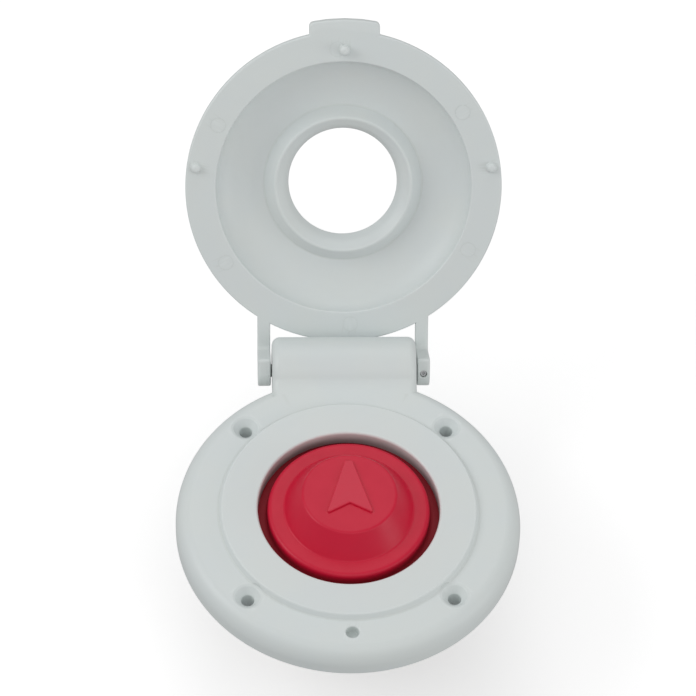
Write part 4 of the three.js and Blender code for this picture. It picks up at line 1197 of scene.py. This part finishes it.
class FOOTSWITCH_OT_boot(Operator):
    """Build the red rubber boot: button, raised arrow, roll, wall and clamped bead in one"""

    bl_idname = "foot_switch.boot"
    bl_label = "Rubber boot"

    def execute(self, context):
        s, hardware = settings("boot"), settings("hardware")
        foot_r, bead_r = PAD_HIGH[0], SKIRT_HIGH[0]
        top = PAD_HIGH[2] - s.arrow_raise
        under = top - s.skin
        roll_z, roll_under = SKIRT_HIGH[2], SKIRT_HIGH[2] - s.wall
        bead_z, bead_top = SKIRT_LOW[2], SKIRT_LOW[2] + s.bead
        inner = s.roll - s.wall
        boot = turned([
            (0, top),
            (s.flat, top, s.top_round),
            (foot_r, roll_z, s.foot_fillet),
            (s.roll, roll_z, s.roll_round),
            (s.roll, bead_top, s.bead_fillet),
            (bead_r, bead_top, s.bead_round),
            (bead_r, bead_z, s.bead_round),
            (inner, bead_z, s.bead_round),
            (inner, roll_under, 0.6 * MM),
            (foot_r - 1.6 * MM, roll_under, 0.6 * MM),
            (s.flat - 2 * MM, under, 0.8 * MM),
            (0, under),
        ], hardware.big_facets, closed=False)
        arrow = drawn_up(arrow_outline(s), under + s.skin / 2, PAD_HIGH[2], s.arrow_edge)
        still, moving = (0, 0, bead_z), (0, 0, roll_z + 0.2 * MM)
        piece("boot_moulding", boot, "red_rubber", (still, moving), ["button_pad", "boot_skirt"],
              [arrow], sharp=35)
        return {"FINISHED"}


# ------------------------------------------------------------- gasket, housing, screws


def washer(node, name, finish):
    """Flat ring in place of a washer's node."""
    hardware = settings("hardware")
    low, high = box(node)
    outer = (high[0] - low[0]) / 2
    flat = ring(hardware.nut_bore, outer, low[2], high[2], hardware.facets, hardware.edge_round)
    piece(name, flat.at([middle(node)]), finish, "base", [node])


class FOOTSWITCH_OT_rubber_seals(Operator):
    """Build the deck gasket and the two stud seals"""

    bl_idname = "foot_switch.rubber_seals"
    bl_label = "Gasket and seals"

    def execute(self, context):
        hardware, flange = settings("hardware"), settings("flange")
        low, high = box("deck_gasket")
        inner = flange.housing_seat + flange.seat_rim + flange.gasket_gap
        sheet = ring(inner, high[0], low[2], high[2], hardware.big_facets, 0.2 * MM)
        hole = rod(flange.screw_hole + flange.gasket_gap, -MM, 2 * MM, 48)
        holes = hole.at(places_on_circle(4, flange.screw_circle, 45))
        piece("deck_gasket_sheet", sheet, "black_rubber", "base", ["deck_gasket"], cut=[holes])
        for side in SIDES:
            washer(f"stud_seal_{side}", f"stud_seal_ring_{side}", "black_rubber")
        return {"FINISHED"}


def housing_cup(s, facets):
    """Cup turned about Z: dished floor, wall, clamped rim, the guide's seat and the cavity."""
    low, high = HOUSING_LOW, HOUSING_HIGH
    return turned([
        (0, low[2] + s.dish_depth),
        (s.dish, low[2] + s.dish_depth, 0.2 * MM),
        (s.dish + s.dish_slope, low[2], 0.2 * MM),
        (s.wall, low[2], 0.9 * MM),
        (s.wall, s.rim_bottom, 0.5 * MM),
        (high[0], s.rim_bottom, 0.3 * MM),
        (high[0], high[2], 0.3 * MM),
        (s.seat, high[2], 0.3 * MM),
        (s.seat, -s.ledge, 0.2 * MM),
        (s.cavity, -s.ledge, 0.2 * MM),
        (s.cavity, low[2] + s.floor, 0.8 * MM),
        (0, low[2] + s.floor),
    ], facets, closed=False)


def screw_seat(s):
    """Cutter for a housing screw: its hole and the countersink in the rim's underside."""
    low, high = box("housing_screw_1")
    head, top = (high[1] - low[1]) / 2 + 0.1 * MM, HOUSING_HIGH[2] + MM
    return turned([
        (0, s.rim_bottom - MM),
        (head, s.rim_bottom - MM),
        (head, s.rim_bottom + 0.1 * MM),
        (s.screw_hole, s.rim_bottom + s.screw_seat_depth),
        (s.screw_hole, top),
        (0, top),
    ], 48, closed=False)


class FOOTSWITCH_OT_housing(Operator):
    """Build the black switch housing and its four screws"""

    bl_idname = "foot_switch.housing"
    bl_label = "Switch housing"

    def execute(self, context):
        s, hardware = settings("housing"), settings("hardware")
        screws = places_on_circle(4, middle("housing_screw_1")[0], 0)
        stud_hole = rod(s.stud_hole, HOUSING_LOW[2] - MM, HOUSING_LOW[2] + s.floor + MM, 64)
        studs = [middle(f"terminal_stud_{side}") for side in SIDES]
        piece("housing_moulding", housing_cup(s, hardware.big_facets), "black_plastic", "base",
              ["switch_housing"], cut=[screw_seat(s).at(screws), stud_hole.at(studs)])
        for i, place in enumerate(screws):
            self.screw(place, i + 1)
        return {"FINISHED"}

    def screw(self, place, number):
        """Countersunk screw, head down: a slotted head, a cone and a threaded shank."""
        hardware, facets = settings("hardware"), 48
        node = f"housing_screw_{number}"
        low, high = box(node)
        bottom, top = low[2], high[2]
        head, tip = (high[1] - low[1]) / 2, 0.7 * MM
        neck = bottom + hardware.screw_neck
        radius, height = threaded(
            hardware.screw, neck + 0.2 * MM, top - 0.6 * MM, hardware.screw_pitch, facets, 0.3 * MM)
        radii = side_by_side([[0, head - 0.2 * MM, head, head, hardware.screw]], radius, [[tip, 0]])
        heights = side_by_side(
            [[bottom, bottom, bottom + 0.12 * MM, bottom + 0.2 * MM, neck]], height, [[top, top]])
        slot = drawn_up(SQUARE * (2 * head, hardware.slot_half), bottom - MM, bottom + hardware.slot_depth)
        piece(f"housing_screw_slotted_{number}", spun(radii, heights, facets).at([place]), "stainless",
              "base", [node], cut=[slot.at([place])])


# --------------------------------------------------------------------------- terminals


def hexagon_nut(node, bore, chamfer, facets=96):
    """Nut about Z: its radius is the least of a hexagon, half the width over the cosine of the
    angle from the nearest flat, and of a 30 degree cone at either end. The bore is chamfered."""
    low, high = box(node)
    width_x, width_y, thick = high - low
    corner = max(width_x, width_y) / 2
    flat = corner * cos(pi / 6)
    turn = pi / 6 if width_x > width_y else 0
    hexagon = np.minimum(flat / np.cos(sixth_turn(facets, turn)), corner * 0.99)
    rise = np.concatenate([np.linspace(0, 0.18, 7), [0.5], np.linspace(0.82, 1, 7)]) * thick
    cone = flat * 0.96 + np.minimum(rise, thick - rise) / tan(pi / 6)
    flare, land = bore + chamfer, 0.2 * MM
    radii = side_by_side(
        [[flare, flare + land]], np.minimum(hexagon, cone[None]), [[flare + land, flare, bore, bore]])
    bottom, top = low[2], high[2]
    heights = np.concatenate([
        [bottom, bottom], bottom + rise, [top, top, top - chamfer, bottom + chamfer]])
    return spun(radii, heights, facets).at([middle(node)])


def terminal_stud(node, hardware):
    """Headed stud about Z: a threaded shank below a plain neck and a round head inside."""
    low, high = box(node)
    crest, head, edge = hardware.stud, (high[1] - low[1]) / 2, 0.2 * MM
    top, head_bottom = high[2], high[2] - hardware.stud_head
    thread_top = HOUSING_LOW[2] + 0.3 * MM
    radius, height = threaded(
        crest, low[2], thread_top, hardware.stud_pitch, hardware.facets, 0.5 * MM)
    radii = side_by_side([[0]], radius, [[crest, crest, head - edge, head, head, head - edge, 0]])
    heights = side_by_side([[low[2]]], height, [[
        thread_top + 0.3 * MM, head_bottom, head_bottom, head_bottom + edge, top - edge, top, top]])
    return spun(radii, heights, hardware.facets).at([middle(node)])


def split_ring(node, bore, gap):
    """Spring washer: a rounded square section carried round Z, all but a gap that leans."""
    low, high = box(node)
    outer, soft = (high[1] - low[1]) / 2, 0.15 * MM
    section = rounded([
        (bore, low[2], soft), (outer, low[2], soft), (outer, high[2], soft), (bore, high[2], soft)])
    lean = (section[:, 1] - low[2]) / outer * 0.5
    a = np.linspace(gap / outer, 2 * pi - 0.15, 90)[:, None] + lean[None]
    points = np.stack([section[:, 0] * np.cos(a), section[:, 0] * np.sin(a), section[:, 1] + 0 * a], -1)
    return grid(points, caps=True).at([middle(node)])


class FOOTSWITCH_OT_terminals(Operator):
    """Build the two terminal studs with their nuts and washers"""

    bl_idname = "foot_switch.terminals"
    bl_label = "Terminals"

    def execute(self, context):
        hardware = settings("hardware")
        bore = hardware.nut_bore
        for side in SIDES:
            node = f"terminal_stud_{side}"
            stud = terminal_stud(node, hardware)
            piece(f"terminal_stud_threaded_{side}", stud, "brass", "base", [node])
            for kind in ("lock_nut", "terminal_nut"):
                node = f"{kind}_{side}"
                nut = hexagon_nut(node, bore, hardware.nut_chamfer)
                piece(f"{kind}_hexagon_{side}", nut, "brass", "base", [node], sharp=32)
            washer(f"flat_washer_{side}", f"flat_washer_ring_{side}", "brass")
            node = f"spring_washer_{side}"
            split = split_ring(node, bore, hardware.split)
            piece(f"spring_washer_split_{side}", split, "stainless", "base", [node])
        return {"FINISHED"}


# --------------------------------------------------------------------------- mechanism


class FOOTSWITCH_OT_mechanism(Operator):
    """Build the plunger, its guide, the contacts and the clamp ring inside the switch"""

    bl_idname = "foot_switch.mechanism"
    bl_label = "Mechanism"

    def execute(self, context):
        s, hardware = settings("mechanism"), settings("hardware")
        low, high = box("clamp_ring")
        clamp = ring(s.clamp_hole, high[0], low[2], high[2], hardware.big_facets, 0.25 * MM)
        piece("clamp_ring_pressed", clamp, "stainless", "base", ["clamp_ring"])
        self.guide(s, hardware)
        low, high = box("spring_cap")
        cap = ring(s.cap_hole, high[0], low[2], high[2], hardware.facets, 0.4 * MM)
        piece("spring_cap_moulding", cap, "black_plastic", "button", ["spring_cap"])
        self.plunger(s, hardware)
        self.clip(s, hardware)
        self.bridge(s)
        for kind, body in (("moving_contact", "button"), ("fixed_contact", "base")):
            for side in SIDES:
                node = f"{kind}_{side}"
                low, high = box(node)
                tip = rod((high[1] - low[1]) / 2, low[2], high[2], hardware.facets, 0.35 * MM)
                piece(f"{kind}_tip_{side}", tip.at([middle(node)]), "silver", body, [node])
        return {"FINISHED"}

    def guide(self, s, hardware):
        """Round guide with a hub, a thin web and a thick rim."""
        low, high = box("plunger_guide")
        edge, bend = hardware.edge_round, 0.3 * MM
        web, rim = low[2] + s.guide_web, high[0] - s.guide_rim
        guide = turned([
            (s.guide_bore, low[2], edge),
            (high[0], low[2], edge),
            (high[0], high[2], edge),
            (rim, high[2], edge),
            (rim, web, bend),
            (s.guide_hub, web, bend),
            (s.guide_hub, high[2], edge),
            (s.guide_bore, high[2], edge),
        ], hardware.facets)
        piece("plunger_guide_moulding", guide, "black_plastic", "base", ["plunger_guide"])

    def plunger(self, s, hardware):
        """Stem with a groove for the clip, a collar that stops it at the guide and a tenon."""
        low, high = box("plunger")
        edge, crease, bend = hardware.edge_round, 0.05 * MM, 0.2 * MM
        collar_top = box("plunger_guide")[0][2] - 0.1 * MM
        collar_bottom = collar_top - s.collar
        shoulder = box("spring_cap")[0][2] - 0.1 * MM
        groove_top = box("contact_bridge")[0][2] - 0.1 * MM
        groove_bottom = box("plunger_clip")[0][2] - 0.05 * MM
        plunger = turned([
            (0, low[2]),
            (s.stem, low[2], 0.3 * MM),
            (s.stem, groove_bottom, crease),
            (s.groove, groove_bottom, crease),
            (s.groove, groove_top, crease),
            (s.stem, groove_top, crease),
            (s.stem, collar_bottom, bend),
            (high[0], collar_bottom, edge),
            (high[0], collar_top, edge),
            (s.stem, collar_top, bend),
            (s.stem, shoulder, edge),
            (s.tenon, shoulder, edge),
            (s.tenon, high[2], edge),
            (0, high[2]),
        ], hardware.facets, closed=False)
        piece("plunger_moulding", plunger, "black_plastic", "button", ["plunger"])

    def clip(self, s, hardware):
        """Flat ring with a mouth as wide as the groove that it snaps into."""
        low, high = box("plunger_clip")
        clip = ring(s.groove + 0.1 * MM, high[1], low[2], high[2], hardware.facets, 0.1 * MM)
        mouth = drawn_up((SQUARE + (1, 0)) * (4 * MM, s.groove), low[2] - MM, high[2] + MM)
        piece("plunger_clip_pressed", clip, "stainless", "button", ["plunger_clip"], cut=[mouth])

    def bridge(self, s):
        """Contact bar with rounded corners and a hole for the plunger."""
        low, high = box("contact_bridge")
        outline = rounded([(*corner, s.bridge_corner) for corner in SQUARE * high[:2]])
        bar = drawn_up(outline, low[2], high[2], 0.2 * MM)
        hole = rod(s.bridge_hole, low[2] - MM, high[2] + MM, 64)
        piece("contact_bridge_pressed", bar, "copper", "button", ["contact_bridge"], cut=[hole])


class FOOTSWITCH_OT_springs(Operator):
    """Build the return spring and the contact spring"""

    bl_idname = "foot_switch.springs"
    bl_label = "Springs"

    def execute(self, context):
        s = settings("mechanism")
        low, high = box("return_spring")
        spring = coiled(s.return_coil, s.return_wire, low[2], high[2], s.return_turns)
        ends = ((0, 0, low[2]), (0, 0, high[2]))
        piece("return_spring_wire", spring, "stainless", ends, ["return_spring"])
        low, high = box("contact_spring")
        spring = coiled(s.contact_coil, s.contact_wire, low[2], high[2], s.contact_turns)
        piece("contact_spring_wire", spring, "stainless", "button", ["contact_spring"])
        return {"FINISHED"}


# ------------------------------------------------------------------------------- stage


def floor_finish():
    """Even pale floor."""
    glow = settings("studio").glow
    f = Finish("pale_floor", Roughness=0.9, Emission_Color=(1, 1, 1, 1), Emission_Strength=glow)
    base = settings("colours").floor
    tone = f.mix(f.noise(0.3, 1) * 0.5, base, shade(base, 0.99))
    return f.done(Base_Color=tone)


def floor_sheet(half, height):
    """Flat square sheet of even steps, which faces up."""
    t = np.linspace(-half, half, 13)
    x, y = np.meshgrid(t, t, indexing="ij")
    sheet = grid(np.stack([x, y, 0 * x + height], -1), wrap_columns=False)
    mesh = bpy.data.meshes.new("floor")
    mesh.from_pydata(sheet.points, [], sheet.faces)
    if mesh.polygons[0].normal.z < 0:
        mesh.flip_normals()
    mesh.materials.append(floor_finish())
    floor = bpy.data.objects.new("floor", mesh)
    bpy.context.scene.collection.objects.link(floor)
    return floor


def light(name, power, place, size):
    """Square soft light that faces the object."""
    aim = Vector((0, 0.02, 0.02))
    data = bpy.data.lights.new(name, "AREA")
    data.energy, data.size = power, size
    lamp = bpy.data.objects.new(name, data)
    lamp.location = place
    lamp.rotation_euler = (aim - Vector(place)).to_track_quat("-Z", "Y").to_euler()
    bpy.context.scene.collection.objects.link(lamp)


# Place of each soft light and the length of its side.
LIGHTS = {
    "overhead": ((0, 0.1, 0.9), 0.7),
    "back": ((0, 0.62, 0.85), 0.55),
    "front": ((0, -0.6, 0.75), 0.6),
    "left": ((-0.7, 0, 0.6), 0.5),
    "front_right": ((0.55, -0.55, 0.55), 0.5),
    "right": ((0.9, -0.3, 0.2), 0.4),
}


class FOOTSWITCH_OT_stage(Operator):
    """Set up the floor, the lights and the camera"""

    bl_idname = "foot_switch.stage"
    bl_label = "Stage"

    def execute(self, context):
        s = settings("studio")
        floor = floor_sheet(3, CAD_BOX[0][2])
        floor.visible_diffuse = floor.visible_glossy = False
        world = bpy.data.worlds.new("studio")
        world.use_nodes = True
        sky = world.node_tree.nodes["Background"]
        sky.inputs["Color"].default_value = (1, 1, 1, 1)
        sky.inputs["Strength"].default_value = s.sky
        context.scene.world = world
        for name, (place, size) in LIGHTS.items():
            light(name, getattr(s, name), place, size)
        context.scene.view_settings.view_transform = "Standard"
        self.camera(s)
        return {"FINISHED"}

    def camera(self, s):
        """Camera on a ball round the origin, aimed beside the origin and rolled."""
        data = bpy.data.cameras.new("camera")
        data.lens, data.sensor_width = s.lens, 36
        data.clip_start, data.clip_end = 0.01, 20
        camera = bpy.data.objects.new("camera", data)
        a, e = s.azimuth, s.elevation
        back = Vector((sin(a) * cos(e), -cos(a) * cos(e), sin(e)))
        right = Vector((cos(a), sin(a), 0))
        up = Vector((-sin(a) * sin(e), cos(a) * sin(e), cos(e)))
        place = back * s.distance
        aim = right * s.aim_right + up * s.aim_up
        look = (aim - place).to_track_quat("-Z", "Y").to_matrix().to_4x4()
        camera.matrix_world = Matrix.Translation(place) @ look @ Matrix.Rotation(s.roll, 4, "Z")
        bpy.context.scene.collection.objects.link(camera)
        bpy.context.scene.camera = camera


# --------------------------------------------------------------------- panel and adding


OPERATORS = (
    FOOTSWITCH_OT_flange,
    FOOTSWITCH_OT_lid,
    FOOTSWITCH_OT_hinge_pin,
    FOOTSWITCH_OT_boot,
    FOOTSWITCH_OT_rubber_seals,
    FOOTSWITCH_OT_housing,
    FOOTSWITCH_OT_terminals,
    FOOTSWITCH_OT_mechanism,
    FOOTSWITCH_OT_springs,
    FOOTSWITCH_OT_stage,
)


class FOOTSWITCH_PT_panel(Panel):
    """Sidebar panel with a button for each piece and the sizes and colours"""

    bl_label = "Foot switch"
    bl_idname = "FOOTSWITCH_PT_panel"
    bl_space_type = "VIEW_3D"
    bl_region_type = "UI"
    bl_category = "Foot switch"

    def draw(self, context):
        """Draw the panel"""
        for operator in OPERATORS:
            self.layout.operator(operator.bl_idname)
        for name in GROUPS:
            column = self.layout.box().column()
            column.label(text=name.capitalize())
            group = settings(name)
            for key in group.__annotations__:
                column.prop(group, key)


def register():
    """Registers the classes and gives the scene its property groups."""
    for group in GROUPS.values():
        bpy.utils.register_class(group)
    for name, group in GROUPS.items():
        setattr(bpy.types.Scene, "foot_switch_" + name, PointerProperty(type=group))
    for operator in (*OPERATORS, FOOTSWITCH_PT_panel):
        bpy.utils.register_class(operator)


def unregister():
    """Takes away all that register adds."""
    for operator in (*OPERATORS, FOOTSWITCH_PT_panel):
        bpy.utils.unregister_class(operator)
    for name in GROUPS:
        delattr(bpy.types.Scene, "foot_switch_" + name)
    for group in GROUPS.values():
        bpy.utils.unregister_class(group)


def main():
    """Registers the classes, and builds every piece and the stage."""
    register()
    for operator in OPERATORS:
        getattr(bpy.ops.foot_switch, operator.bl_idname.split(".")[1])()


if __name__ == "__main__":
    main()
